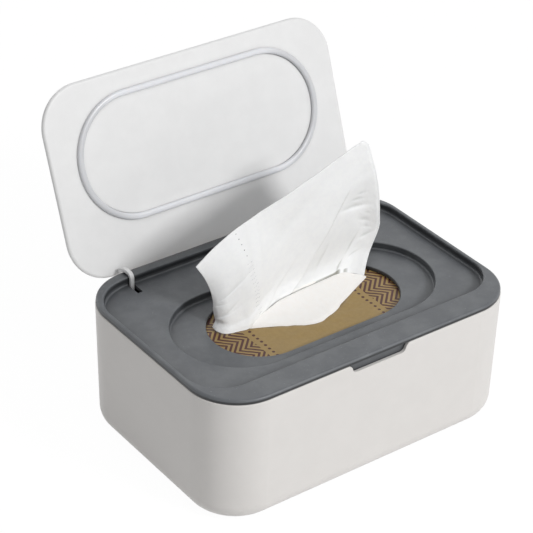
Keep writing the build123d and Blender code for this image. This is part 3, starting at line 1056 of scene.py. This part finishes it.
# %% [markdown]
# ## Printed film
# The print is kraft brown with dark red-brown zigzags over both ends, closed by a solid band,
# and a row of dots where the zigzags begin. All of it is arithmetic on the place along the
# flat film: Ping-Pong folds a coordinate into a zigzag, and a band of its remainder is a
# stripe, sharp from any distance. The film itself is glossy, with a slow waviness on top of
# the modelled crumples.

# %% The print's colours, places and sizes
KRAFT = srgb(160, 134, 82)
KRAFT_WORN = srgb(154, 128, 77)
PRINT_BROWN = srgb(74, 36, 30)
ZIGZAG_START = 37.5 * MM
ZIGZAG_END = 66.0 * MM
ZIGZAG_WIDTH = 7.0 * MM
ZIGZAG_PITCH = 3.4 * MM
ZIGZAG_LINE = 0.86 * MM
DOT_ROW = 34.0 * MM
DOT_PITCH = 3.4 * MM
DOT_RADIUS = 0.85 * MM
SOLID_START = 67.6 * MM
SOLID_END = 70.4 * MM
PRINT_EDGE = 0.10 * MM
PAPER_SIZE = 2.2 * MM
PAPER_DEPTH = 0.012 * MM
FILM_WAVE = 6 * MM
FILM_WAVE_DEPTH = 0.10 * MM
print("zigzags from", round(ZIGZAG_START / MM, 1), "to", round(ZIGZAG_END / MM, 1), "mm out")


# %% Film finish
def past(coordinate, place):
    """0 before a place and 1 after it, with the softness of a printed edge."""
    return coordinate.band(place - PRINT_EDGE, place + PRINT_EDGE)


def stripe(coordinate, start, end):
    """1 between two places."""
    return past(coordinate, start) - past(coordinate, end)


def printed_film():
    """Glossy kraft film with zigzags, a solid band and a row of dots at each end."""
    finish = Finish("printed_film")
    cut = finish.cut()
    along, across, _ = finish.axes(cut)
    out = along.math("ABSOLUTE")
    zigzag = out + across.math("PINGPONG", ZIGZAG_WIDTH)
    lines = 1.0 - past(zigzag.math("PINGPONG", ZIGZAG_PITCH / 2), ZIGZAG_LINE)
    lines = lines * stripe(out, ZIGZAG_START, ZIGZAG_END)
    beside = (out - DOT_ROW).math("ABSOLUTE")
    between = across.math("PINGPONG", DOT_PITCH / 2)
    dots = 1.0 - past((beside * beside + between * between).math("SQRT"), DOT_RADIUS)
    solid = stripe(out, SOLID_START, SOLID_END)
    ink = lines.math("MAXIMUM", solid).math("MAXIMUM", dots)
    fibres = finish.speckle(cut, PAPER_SIZE, detail=6.0, rough=0.7)
    paper = finish.blend(fibres.band(0.40, 0.62), KRAFT_WORN, KRAFT)
    finish.set("Base Color", finish.blend(ink, paper, PRINT_BROWN))
    finish.set("Roughness", fibres * 0.14 + ink * 0.05 + 0.34)
    slow = finish.relief(finish.speckle(cut, FILM_WAVE, detail=2.0), FILM_WAVE_DEPTH)
    finish.set("Normal", finish.relief(fibres, PAPER_DEPTH, slow))
    return finish.material


film_finish = printed_film()
print("film's finish:", film_finish.name)

# %% Make the film pack
film_mesh = grid_mesh("film_pack", film_grid, film_print, closed=True)
film_pack = thin_piece("film_pack", film_mesh, film_finish, FILM_THICKNESS)
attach(film_pack, "tub")
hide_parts("pack_film")

# %% [markdown]
# ## The folded wipes in the pack
# Each wipe is folded in a Z before it goes into the pack, and each holds the next one by its
# last fold, which is why drawing one lifts the next. The stack is the same folded wipe again
# and again, so Geometry Nodes lay it: one folded wipe, made once, is repeated up a line,
# every second one turned half round, with small random shifts from a fixed seed.

# %% One wipe in its folds
STACK_WIPES = 42
WIPE_LAYERS = 4
CLOTH_THICKNESS = 0.24 * MM
STACK_MARGIN = 3.0 * MM
STACK_INSET = 5.4 * MM
STACK_COLUMNS = 10
LAYER_POINTS = 5
STACK_SHIFT = 0.8 * MM
STACK_SEED = 7


def folded_wipe(half_length, half_depth, height):
    """A grid of one folded wipe: flat layers joined by half-round bends, drawn along X."""
    pitch = height / WIPE_LAYERS
    bend = pitch / 2
    reach = half_depth - bend
    profile = []
    for layer in range(WIPE_LAYERS):
        side = 1 if layer % 2 == 0 else -1
        level = (layer + 0.5) * pitch
        profile += [(side * share * reach, level) for share in np.linspace(-1, 1, LAYER_POINTS)]
        if layer < WIPE_LAYERS - 1:
            turns = np.linspace(-pi / 2, pi / 2, LAYER_POINTS)[1:-1]
            profile += [(side * (reach + bend * cos(t)), level + bend * (1 + sin(t))) for t in turns]
    places = np.linspace(-half_length, half_length, STACK_COLUMNS)
    return np.array([[(x, y, z) for x in places] for y, z in profile])


stack_low, stack_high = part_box("wipes_stack")
length, depth, height = np.subtract(stack_high, stack_low)
STACK_PITCH = (height - 2 * STACK_MARGIN) / STACK_WIPES
one_wipe = folded_wipe(length / 2 - STACK_INSET, depth / 2 - STACK_INSET, STACK_PITCH)
print("one folded wipe takes", round(STACK_PITCH / MM, 2), "mm of the stack")


# %% Lay the stack
def make_stack():
    """The folded wipes, one above the other."""
    grow = Growth("folded_wipes")
    wipe = grow.source()
    count = grow.size("Wipes", STACK_WIPES, "NodeSocketInt")
    pitch = grow.size("Pitch", STACK_PITCH)
    shift = grow.size("Shift", STACK_SHIFT)
    seed = grow.size("Seed", STACK_SEED, "NodeSocketInt")
    step = grow.node("ShaderNodeCombineXYZ", None, {"Z": pitch})
    foot = (0, PACK_CENTRE.y, stack_low.z + STACK_MARGIN)
    line = {"Count": count, "Offset": step, "Start Location": foot}
    line = grow.node("GeometryNodeMeshLine", None, line)
    chance = {"Min": (-1, -1, 0), "Max": (1, 1, 0), "Seed": seed}
    chance = grow.node("FunctionNodeRandomValue", {"data_type": "FLOAT_VECTOR"}, chance)
    shifted = grow.node("ShaderNodeVectorMath", {"operation": "SCALE"}, {0: chance, "Scale": shift})
    line = grow.node("GeometryNodeSetPosition", None, {"Geometry": line, "Offset": shifted})
    half_turns = grow.node("GeometryNodeInputIndex").math("MODULO", 2.0) * pi
    turn = grow.node("ShaderNodeCombineXYZ", None, {"Z": half_turns})
    laid = {"Points": line, "Instance": wipe, "Rotation": turn}
    laid = grow.node("GeometryNodeInstanceOnPoints", None, laid)
    stack = grow.mesh(laid, wipe_cloth, grid_mesh("one_wipe", one_wipe, flat_places(one_wipe)))
    thicken(stack, CLOTH_THICKNESS)
    return stack


wipes_stack = make_stack()
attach(wipes_stack, "tub")
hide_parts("wipes_stack")

# %% [markdown]
# ## The next wipe
# The wipe that will come out next swells up in the slit. It shows as a creamy lens: its edge
# runs under the film, it rises to a soft ridge, and along the ridge it dips into the crease
# that the drawn wipe comes out of. It could be sculpted, but its height follows from two
# distances, to the edge and to the ridge, so a few soft steps describe it.

# %% The next wipe's edges and its ridge
NEXT_COLUMNS = 170
# The edges lie this many times further out than the slit's lips: along, across and up
NEXT_SPREAD = np.array([1.03, 1.07, 1.0])
# The ridge's line seen from above, in mm, and how much higher it swells there
NEXT_RIDGE_LINE = (
    (-47.0, 6.0, 0), (-33.0, 1.5, 0), (-21.0, 3.6, 0), (-14.8, 5.4, 0.1), (-7.0, 7.4, 0.5),
    (6.4, 8.6, 0.9), (19.7, 9.0, 1.3), (32.0, 9.5, 1.6), (37.0, 9.9, 1.3), (40.0, 8.8, 0.5),
    (43.0, 6.8, 0), (46.4, 4.2, 0),
)
RIDGE_POINTS = 300


def spread_lip(points):
    """A lip of the slit, moved outwards so that the wipe's edge runs under the film."""
    edge = smooth_line([(x, y, 0) for x, y in points], NEXT_COLUMNS)
    middle = np.array([*SLIT_MIDDLE, 0])
    return middle + (edge - middle) * NEXT_SPREAD


next_edges = [spread_lip(points) for points in (SLIT_FRONT, SLIT_BACK)]
next_ridge = smooth_line(NEXT_RIDGE_LINE, RIDGE_POINTS)
print("the ridge swells by up to", round(float(next_ridge[:, 2].max()) / MM, 2), "mm")

# %% The next wipe's heights
NEXT_ROWS = 96
NEXT_EDGE = 64.0 * MM
NEXT_SHOULDER = 1.4 * MM
NEXT_SHOULDER_WIDTH = 3.5 * MM
NEXT_RIDGE = 68.2 * MM
NEXT_SWELL = 1.15
NEXT_FULL_WIDTH = 24 * MM
CREASE_DEPTH = 4.0 * MM
CREASE_WIDTH = 1.3 * MM
CREASE_BEHIND = 1.5 * MM
NEXT_BUMP = 0.3 * MM
NEXT_BUMP_SIZE = 12 * MM
BUMPS_FROM_EDGE = (2 * MM, 8 * MM)
BUMPS_FROM_RIDGE = (0, 4 * MM)
NEXT_THICKNESS = 0.4 * MM


def slope_share(from_edge, to_ridge):
    """How far up its slope a point is, from 0 at the edge to 1 at the ridge."""
    return from_edge / np.maximum(from_edge + np.maximum(to_ridge, 0), 1e-9)


def next_wipe_grid(front, back, ridge):
    """The next wipe's surface, from its front edge over the ridge and the crease to its back."""
    v = np.linspace(0, 1, NEXT_ROWS)[:, None, None]
    grid = (1 - v) * front + v * back
    from_front = np.linalg.norm(grid - front, axis=2)
    from_back = np.linalg.norm(grid - back, axis=2)
    ridge_y, swell = (np.interp(grid[..., 0], ridge[:, 0], ridge[:, k]) for k in (1, 2))
    before = ridge_y - grid[..., 1]
    front_share, back_share = slope_share(from_front, before), slope_share(from_back, -before)
    slope = np.where(before > 0, front_share, back_share) ** NEXT_SWELL
    shoulder = NEXT_SHOULDER * soft_step(np.minimum(from_front, from_back), 0, NEXT_SHOULDER_WIDTH)
    width = np.minimum(1, (from_front + from_back) / NEXT_FULL_WIDTH)
    rise = (NEXT_RIDGE + swell - NEXT_EDGE - NEXT_SHOULDER) * slope * width
    dip = CREASE_DEPTH * np.exp(-((-before - CREASE_BEHIND) / CREASE_WIDTH) ** 2) * width
    grid[..., 2] = NEXT_EDGE + shoulder + rise - dip
    bumps = NEXT_BUMP * crumple(grid * np.array([1, 1, 0]), NEXT_BUMP_SIZE, seed=4)
    bumps = bumps * soft_step(from_front, *BUMPS_FROM_EDGE)
    grid[..., 2] += bumps * soft_step(before, *BUMPS_FROM_RIDGE)
    return grid


next_grid = next_wipe_grid(*next_edges, next_ridge)
next_wipe = sheet_piece("next_wipe_sheet", next_grid, next_cloth, NEXT_THICKNESS)
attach(next_wipe, "tub")
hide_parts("next_wipe")

# %% [markdown]
# ## The drawn wipe
# A wipe stands half drawn out of the slit, held up by its own dampness and its folds. Its
# four edges are the ones seen in the photo, placed on a plane that leans back a little: the
# bottom edge comes out of the crease and, on the left, flops forward onto the film. A pleat
# runs up from the bottom: left of it the cloth lies in front, right of it a little behind.
# Each fold is one row of numbers rather than a stroke of a sculpting brush, so that it can be
# moved or deepened by itself.

# %% The drawn wipe's four edges, in mm
PULLED_BOTTOM = (
    (-48.3, 9.0, 66.2), (-48.6, 5.0, 66.0), (-46.0, 0.6, 65.8), (-38.7, -1.3, 65.7),
    (-32.9, -2.0, 65.9), (-22.0, 3.2, 66.4), (-11.1, 8.2, 66.2), (-4.9, 9.8, 65.8),
    (8.8, 10.4, 65.6), (21.6, 10.6, 65.6), (37.9, 10.9, 65.8), (42.6, 9.0, 66.0), (45.6, 3.6, 66.0),
)
PULLED_LEFT = (
    (-48.3, 9.0, 66.2), (-45.9, 9.6, 69.3), (-46.8, 9.9, 72.5), (-47.2, 10.5, 80.2),
    (-48.7, 11.0, 87.7), (-52.0, 11.5, 95.7), (-56.6, 12.1, 103.5),
)
PULLED_TOP = (
    (-56.6, 12.1, 103.5), (-45.4, 12.6, 110.5), (-34.2, 12.9, 115.8), (-18.1, 13.3, 120.7),
    (-2.4, 13.6, 124.7), (18.7, 14.1, 131.7), (38.0, 14.6, 138.2), (45.6, 14.8, 140.3),
    (49.4, 14.9, 141.0),
)
PULLED_RIGHT = (
    (45.6, 3.6, 66.0), (50.0, 7.5, 71.0), (54.3, 10.1, 75.8), (60.3, 10.9, 87.0), (60.9, 11.5, 94.6),
    (60.6, 12.5, 107.0), (58.4, 13.4, 120.5), (56.0, 14.2, 129.2), (54.2, 14.7, 135.7),
    (52.4, 14.9, 139.4), (49.4, 14.9, 141.0),
)
PULLED_COLUMNS = 260
PULLED_ROWS = 150
PULLED_THICKNESS = 0.45 * MM

level_edges = [smooth_line(points, PULLED_COLUMNS) for points in (PULLED_BOTTOM, PULLED_TOP)]
side_edges = [smooth_line(points, PULLED_ROWS) for points in (PULLED_LEFT, PULLED_RIGHT)]
flat_wipe = stretched(*level_edges, *side_edges)
print("drawn wipe:", [round(side / MM) for side in grid_size(flat_wipe)], "mm")

# %% The pleat
# The pleat's line: height up the wipe and place across it
PLEAT_LINE = (
    (0, 0.535), (0.15, 0.588), (0.27, 0.608), (0.35, 0.635), (0.44, 0.687), (0.53, 0.735),
    (0.60, 0.780), (0.68, 0.835), (1, 1),
)
PLEAT_HEIGHT = 2.8 * MM
PLEAT_EDGE = 0.30 * MM
PLEAT_REACH = 14 * MM
# Where the pleat weakens and its valley ends, as heights up the wipe
PLEAT_FADE = (0.45, 0.75)
PLEAT_EASE = (0, 0.5)
PLEAT_VALLEY = 0.9 * MM
PLEAT_VALLEY_WIDTH = 1.4 * MM
PLEAT_VALLEY_FADE = (0.52, 0.72)


def beside_pleat(u, v, width):
    """The distance to the right of the pleat's line."""
    heights, places = zip(*PLEAT_LINE)
    return (u - np.interp(v, heights, places)) * width


def pleat_push(u, v, width):
    """In front on the left of the pleat's line, then a valley that runs out to the right."""
    beside = beside_pleat(u, v, width)
    strength = (1 - soft_step(v, *PLEAT_FADE)) * (1 - 0.5 * soft_step(v, *PLEAT_EASE))
    behind = soft_step(beside, -PLEAT_EDGE, PLEAT_EDGE)
    fade = np.where(beside < 0, np.exp(beside / PLEAT_REACH), np.exp(-beside / (1.5 * PLEAT_REACH)))
    valley = behind * np.exp(-np.maximum(beside, 0) / PLEAT_VALLEY_WIDTH)
    valley *= 1 - soft_step(v, *PLEAT_VALLEY_FADE)
    return PLEAT_HEIGHT / 2 * (1 - 2 * behind) * fade * strength - PLEAT_VALLEY * valley


print("the pleat stands", PLEAT_HEIGHT / MM, "mm proud")

# %% Soft folds
# Each soft fold: its middle across and up the wipe, as shares; its half length and its half
# width above and below its line, in mm; its turn, in degrees; and its height, in mm
FOLDS = (
    (0.865, 0.535, 8.0, 6.5, 1.4, -10.0, -1.15),
    (0.930, 0.700, 9.0, 3.0, 3.0, 6.0, 0.4),
    (0.910, 0.605, 3.0, 0.9, 0.6, -4.0, -0.24),
    (0.885, 0.572, 4.2, 0.9, 0.6, -8.0, -0.26),
    (0.915, 0.400, 3.4, 1.8, 0.8, -24.0, -0.40),
    (0.932, 0.445, 2.4, 0.8, 0.5, -30.0, -0.24),
    (0.935, 0.340, 2.8, 0.8, 0.5, -12.0, -0.24),
    (0.925, 0.235, 2.4, 1.7, 1.7, 0.0, 0.42),
    (0.880, 0.235, 5.0, 2.2, 0.9, 76.0, -0.50),
    (0.945, 0.285, 3.6, 1.6, 0.7, 24.0, -0.36),
    (0.915, 0.150, 3.0, 0.9, 0.6, 24.0, -0.26),
    (0.850, 0.085, 2.6, 1.3, 0.7, 72.0, -1.1),
    (0.700, 0.240, 7.0, 2.5, 1.5, 80.0, -0.35),
    (0.500, 0.720, 22.0, 5.0, 5.0, 24.0, -0.6),
    (0.280, 0.620, 20.0, 3.0, 3.0, 78.0, 0.5),
    (0.120, 0.455, 13.0, 3.5, 0.9, 28.0, -0.4),
    (0.060, 0.200, 9.0, 3.0, 0.9, 24.0, -0.4),
    (0.105, 0.270, 5.0, 1.3, 0.7, 40.0, -0.25),
    (0.040, 0.330, 4.0, 1.2, 0.7, 12.0, -0.25),
    (0.200, 0.140, 16.0, 3.0, 2.0, 14.0, -0.4),
    (0.420, 0.220, 13.0, 3.5, 1.6, 52.0, 0.4),
)


def fold_push(u, v, width, height):
    """The sum of the soft folds, each a long smooth bump or dent."""
    push = np.zeros_like(u)
    for middle_u, middle_v, half_long, above, below, turn, depth in FOLDS:
        along = (u - middle_u) * width / MM
        up = (v - middle_v) * height / MM
        c, s = cos(radians(turn)), sin(radians(turn))
        a = (along * c + up * s) / half_long
        b = up * c - along * s
        b = np.where(b > 0, b / above, b / below)
        push += depth * MM * np.exp(-(a * a + b * b))
    return push


print("soft folds:", len(FOLDS))

# %% Painted shade in the hollows, where the cloth is painted greyer
# The painted shade of the crease at the ridge: place across, height up and darkness
CREASE_LINE = (
    (0.500, 0.005, 0.0), (0.545, 0.014, 0.5), (0.640, 0.027, 0.6), (0.750, 0.039, 0.6),
    (0.815, 0.039, 0.9), (0.845, 0.046, 1.0), (0.856, 0.050, 0.8), (0.868, 0.040, 0.0),
    (0.880, 0.036, 0.0), (0.892, 0.038, 0.7), (0.903, 0.036, 0.5), (0.915, 0.034, 0.0),
)
CREASE_FADE = 0.011
# Painted shade in valleys, found over this many points, full at this depth and at most this dark, then
# in the pleat's lee
HOLLOW_REACH = 7
HOLLOW_DEPTH = 0.32 * MM
VALLEY_SHADE_MOST = 0.42
LEE_SHADE = 0.12
LEE_START = 1 * MM
LEE_REACH = 18 * MM
LEE_FADE = (0.15, 0.6)


def blurred(field, reach):
    """A field averaged over its neighbours, along the rows and then the columns."""
    share = np.hanning(2 * reach + 3)[1:-1]
    share /= share.sum()
    for axis in (0, 1):
        ends = [(reach, reach) if k == axis else (0, 0) for k in (0, 1)]
        wide = np.pad(field, ends, mode="edge")
        count = field.shape[axis]
        field = sum(w * np.take(wide, range(k, k + count), axis) for k, w in enumerate(share))
    return field


def hollow_shade(push, u, v, width):
    """How much painted shade each point of the drawn wipe gets: in valleys, in the crease and in the
    pleat's lee.
    """
    shade = np.clip((blurred(push, HOLLOW_REACH) - push) / HOLLOW_DEPTH, 0, 1) * VALLEY_SHADE_MOST
    places, heights, darkness = zip(*CREASE_LINE)
    above = v - np.interp(u, places, heights)
    crease = np.interp(u, places, darkness) * (1 - soft_step(above, 0.1 * CREASE_FADE, CREASE_FADE))
    beside = beside_pleat(u, v, width)
    lee = soft_step(beside, 0, LEE_START) * np.exp(-np.maximum(beside, 0) / LEE_REACH)
    lee *= 1 - soft_step(v, *LEE_FADE)
    return np.clip(np.maximum(shade + LEE_SHADE * lee, crease), 0, 1)


print("hollows are found within", HOLLOW_REACH, "points")

# %% The drawn wipe with its folds, its hem and its crumples
HEM_WIDTH = 1.6 * MM
HEM_SOFTNESS = 0.2 * MM
HEM_STEP = 0.35 * MM
# The height and size of the wide waves and of the small crumples
WAVES = (0.8 * MM, 30 * MM)
CRUMPLES = (0.14 * MM, 6 * MM)
# The share of the height over which all of that grows in from the plain foot
PLAIN_FOOT = 0.05


def drawn_wipe_grid():
    """The drawn wipe's surface with all its folds, and the painted shade at each point."""
    width, height = grid_size(flat_wipe)
    u, v = np.meshgrid(np.linspace(0, 1, PULLED_COLUMNS), np.linspace(0, 1, PULLED_ROWS))
    folds = pleat_push(u, v, width) + fold_push(u, v, width, height)
    crumples = WAVES[0] * crumple(flat_wipe, WAVES[1], seed=2, layers=2)
    crumples += CRUMPLES[0] * crumple(flat_wipe, CRUMPLES[1], seed=6, layers=2)
    hem = soft_step((1 - u) * width, HEM_WIDTH - HEM_SOFTNESS, HEM_WIDTH + HEM_SOFTNESS)
    push = (folds + crumples + HEM_STEP * (hem - 1)) * soft_step(v, 0, PLAIN_FOOT)
    return flat_wipe + grid_normals(flat_wipe) * push[..., None], hollow_shade(folds, u, v, width)


drawn_grid, drawn_fold_shade = drawn_wipe_grid()
drawn_wipe = sheet_piece("drawn_wipe", drawn_grid, wipe_cloth, PULLED_THICKNESS, drawn_fold_shade)

# %% [markdown]
# ## Where the drawn wipe leaves the pack
# Below its visible edge the drawn wipe runs on down through the crease into the pack. That
# short neck is a piece of its own, because it crosses from one body to another: its foot lies
# in the pack, and its head meets the drawn wipe, which goes with the cover.

# %% A place on a sheet
def on_sheet(grid, u, v, lift=0.0):
    """The point of a grid at shares u across and v up, lifted off it by a length."""
    rows, columns = grid.shape[:2]
    r, c = v * (rows - 1), u * (columns - 1)
    r0, c0 = min(int(r), rows - 2), min(int(c), columns - 2)
    fr, fc = r - r0, c - c0
    patch = grid[r0:r0 + 2, c0:c0 + 2]
    low, high = (1 - fc) * patch[:, 0] + fc * patch[:, 1]
    normal = np.cross(patch[0, 1] - patch[0, 0], patch[1, 0] - patch[0, 0])
    return (1 - fr) * low + fr * high + lift * unit(normal)


# %% Neck
NECK_LEFT = 0.40
NECK_RIGHT = 0.985
NECK_COLUMNS = 90
NECK_ROWS = 28
NECK_OVERLAP = 0.010
NECK_DEPTH = 3.2 * MM
NECK_TUCK = 9.0 * MM
NECK_TUCK_CURVE = 1.5
NECK_FOLD = 0.7 * MM
NECK_FOLD_SIZE = 7.0 * MM
NECK_THICKNESS = 0.40 * MM
# Where the neck's folds fade, with 0 halfway along it and 1 at its head, and where it drops,
# counted the other way, with -1 at its head
NECK_HELD = (0.4, 1)
NECK_DROP = (-1, 0.3)


def neck_grid():
    """A strip that lies on the pack's top wipe, then bends up to the drawn wipe's foot."""
    shares = np.linspace(NECK_LEFT, NECK_RIGHT, NECK_COLUMNS)
    head = np.array([on_sheet(drawn_grid, u, NECK_OVERLAP) for u in shares])
    v = np.linspace(-1, 1, NECK_ROWS)[:, None]
    grid = np.repeat(head[None], NECK_ROWS, axis=0)
    loose = 1 - soft_step(v, *NECK_HELD)
    grid[..., 1] += NECK_TUCK * np.maximum(-v, 0) ** NECK_TUCK_CURVE
    grid[..., 1] += NECK_FOLD * loose * crumple(head[None], NECK_FOLD_SIZE, seed=8, layers=2)
    grid[..., 2] -= NECK_DEPTH * soft_step(-v, *NECK_DROP)
    return grid


neck = neck_grid()
wipe_neck = sheet_piece("wipe_neck", neck, wipe_cloth, NECK_THICKNESS)

# %% [markdown]
# ## The tear line
# The wipe was cut from its neighbour along a pressed line. It shows as a band of small slanted
# marks down the left part of the cloth, and near the top edge a few needle holes go right
# through. The marks are painted a little darker, as painted shade of the pressed dents, and
# the holes are dark beads on the cloth's front, painted shade where a hole shows dark. A
# pattern in the finish would do from afar. Beads that Geometry Nodes set at even steps along
# lines on the cloth keep their shape close up and are real geometry.

# %% Lines on the cloth for the marks to follow
# The tear line: height up the wipe and place across it
TEAR_LINE = ((0.05, 0.288), (0.17, 0.262), (0.34, 0.240), (0.50, 0.230), (0.71, 0.232), (0.96, 0.232))
TEAR_BAND = 0.011
TEAR_STEPS = 40
TEAR_LIFT = PULLED_THICKNESS / 2
# The heights up the wipe between which there are marks, and holes
MARKED = (0.07, 0.62)
PIERCED = (0.70, 0.955)


def tear_line(shift, low, high):
    """Points of one line down the cloth's front, shifted sideways by a share of its width."""
    heights, places = zip(*TEAR_LINE)
    return [
        on_sheet(drawn_grid, np.interp(v, heights, places) + shift, v, TEAR_LIFT)
        for v in np.linspace(low, high, TEAR_STEPS)
    ]


def line_mesh(name, lines):
    """Several open lines in one mesh."""
    points, joins = [], []
    for line in lines:
        first = len(points)
        points += [tuple(point) for point in line]
        joins += [(i, i + 1) for i in range(first, len(points) - 1)]
    mesh = bpy.data.meshes.new(name)
    mesh.from_pydata(points, joins, [])
    return mesh


sideways = (-TEAR_BAND, 0, TEAR_BAND)
tear_lines = line_mesh("tear_lines", [tear_line(shift, *MARKED) for shift in sideways])
hole_line = line_mesh("hole_line", [tear_line(0, *PIERCED)])
print("lines for the marks:", len(tear_lines.vertices), "points")

# %% Marks along the lines
MARK_PITCH = 2.1 * MM
MARK_SIZE = Vector((0.15, 0.05, 0.80)) * MM
MARK_SLANT = radians(52)
MARK_SEED = 11
HOLE_PITCH = 3.4 * MM
HOLE_SIZE = Vector((0.32, 0.06, 0.36)) * MM
HOLE_SEED = 5
SMALLEST_MARK = 0.6
LARGEST_MARK = 1.15


def marks_along(name, lines, pitch, size, slant, material, seed):
    """Small flattened beads at even steps along lines, each with a little chance in its size."""
    grow = Growth(name)
    source = grow.source()
    step = grow.size("Pitch", pitch)
    lean = grow.size("Slant", slant)
    chance = grow.size("Seed", seed, "NodeSocketInt")
    curve = grow.node("GeometryNodeMeshToCurve", None, {"Mesh": source})
    even = grow.node("GeometryNodeResampleCurve", {"mode": "LENGTH"}, {"Curve": curve, "Length": step})
    bead = grow.node("GeometryNodeMeshIcoSphere", None, {"Radius": 1.0, "Subdivisions": 2})
    bead = grow.node("GeometryNodeTransform", None, {"Geometry": bead, "Scale": size})
    turn = grow.node("ShaderNodeCombineXYZ", None, {"Y": lean})
    spread = {2: SMALLEST_MARK, 3: LARGEST_MARK, "Seed": chance}
    spread = grow.node("FunctionNodeRandomValue", {"data_type": "FLOAT"}, spread, 1)
    placed = {"Points": even, "Instance": bead, "Rotation": turn, "Scale": spread}
    return grow.mesh(grow.node("GeometryNodeInstanceOnPoints", None, placed), material, lines)


# Painted shade: the tear marks are painted darker than the wipe, and the needle holes are dark beads
pressed_cloth = non_woven("pressed_cloth", srgb(222, 223, 226), srgb(212, 213, 217))
hole_shade = non_woven("hole_shade", srgb(128, 128, 132), srgb(108, 108, 112))
MARKS = (MARK_PITCH, MARK_SIZE, MARK_SLANT, pressed_cloth, MARK_SEED)
HOLES = (HOLE_PITCH, HOLE_SIZE, 0.0, hole_shade, HOLE_SEED)
tear_marks = marks_along("tear_marks", tear_lines, *MARKS)
needle_holes = marks_along("needle_holes", hole_line, *HOLES)

# %% Give the drawn wipe and its parts their motion
for piece in (drawn_wipe, tear_marks, needle_holes):
    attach(piece, "cover")
    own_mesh(piece)
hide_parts("pulled_wipe")
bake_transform(wipe_neck)


def declare_sheet(piece, grid):
    """Print the flat size of a piece's cut, from its grid laid flat, and its area."""
    flat = grid_size(grid)
    across, up = grid[:-1, 1:] - grid[:-1, :-1], grid[1:, :-1] - grid[:-1, :-1]
    area = min(float(np.linalg.norm(np.cross(across, up), axis=2).sum()), flat[0] * flat[1])
    print(piece.name, "flat:", [round(side / MM) for side in flat], "mm,", round(area / MM ** 2), "mm2")


declare_sheet(drawn_wipe, drawn_grid)
declare_sheet(next_wipe, next_grid)
declare_sheet(wipe_neck, neck)
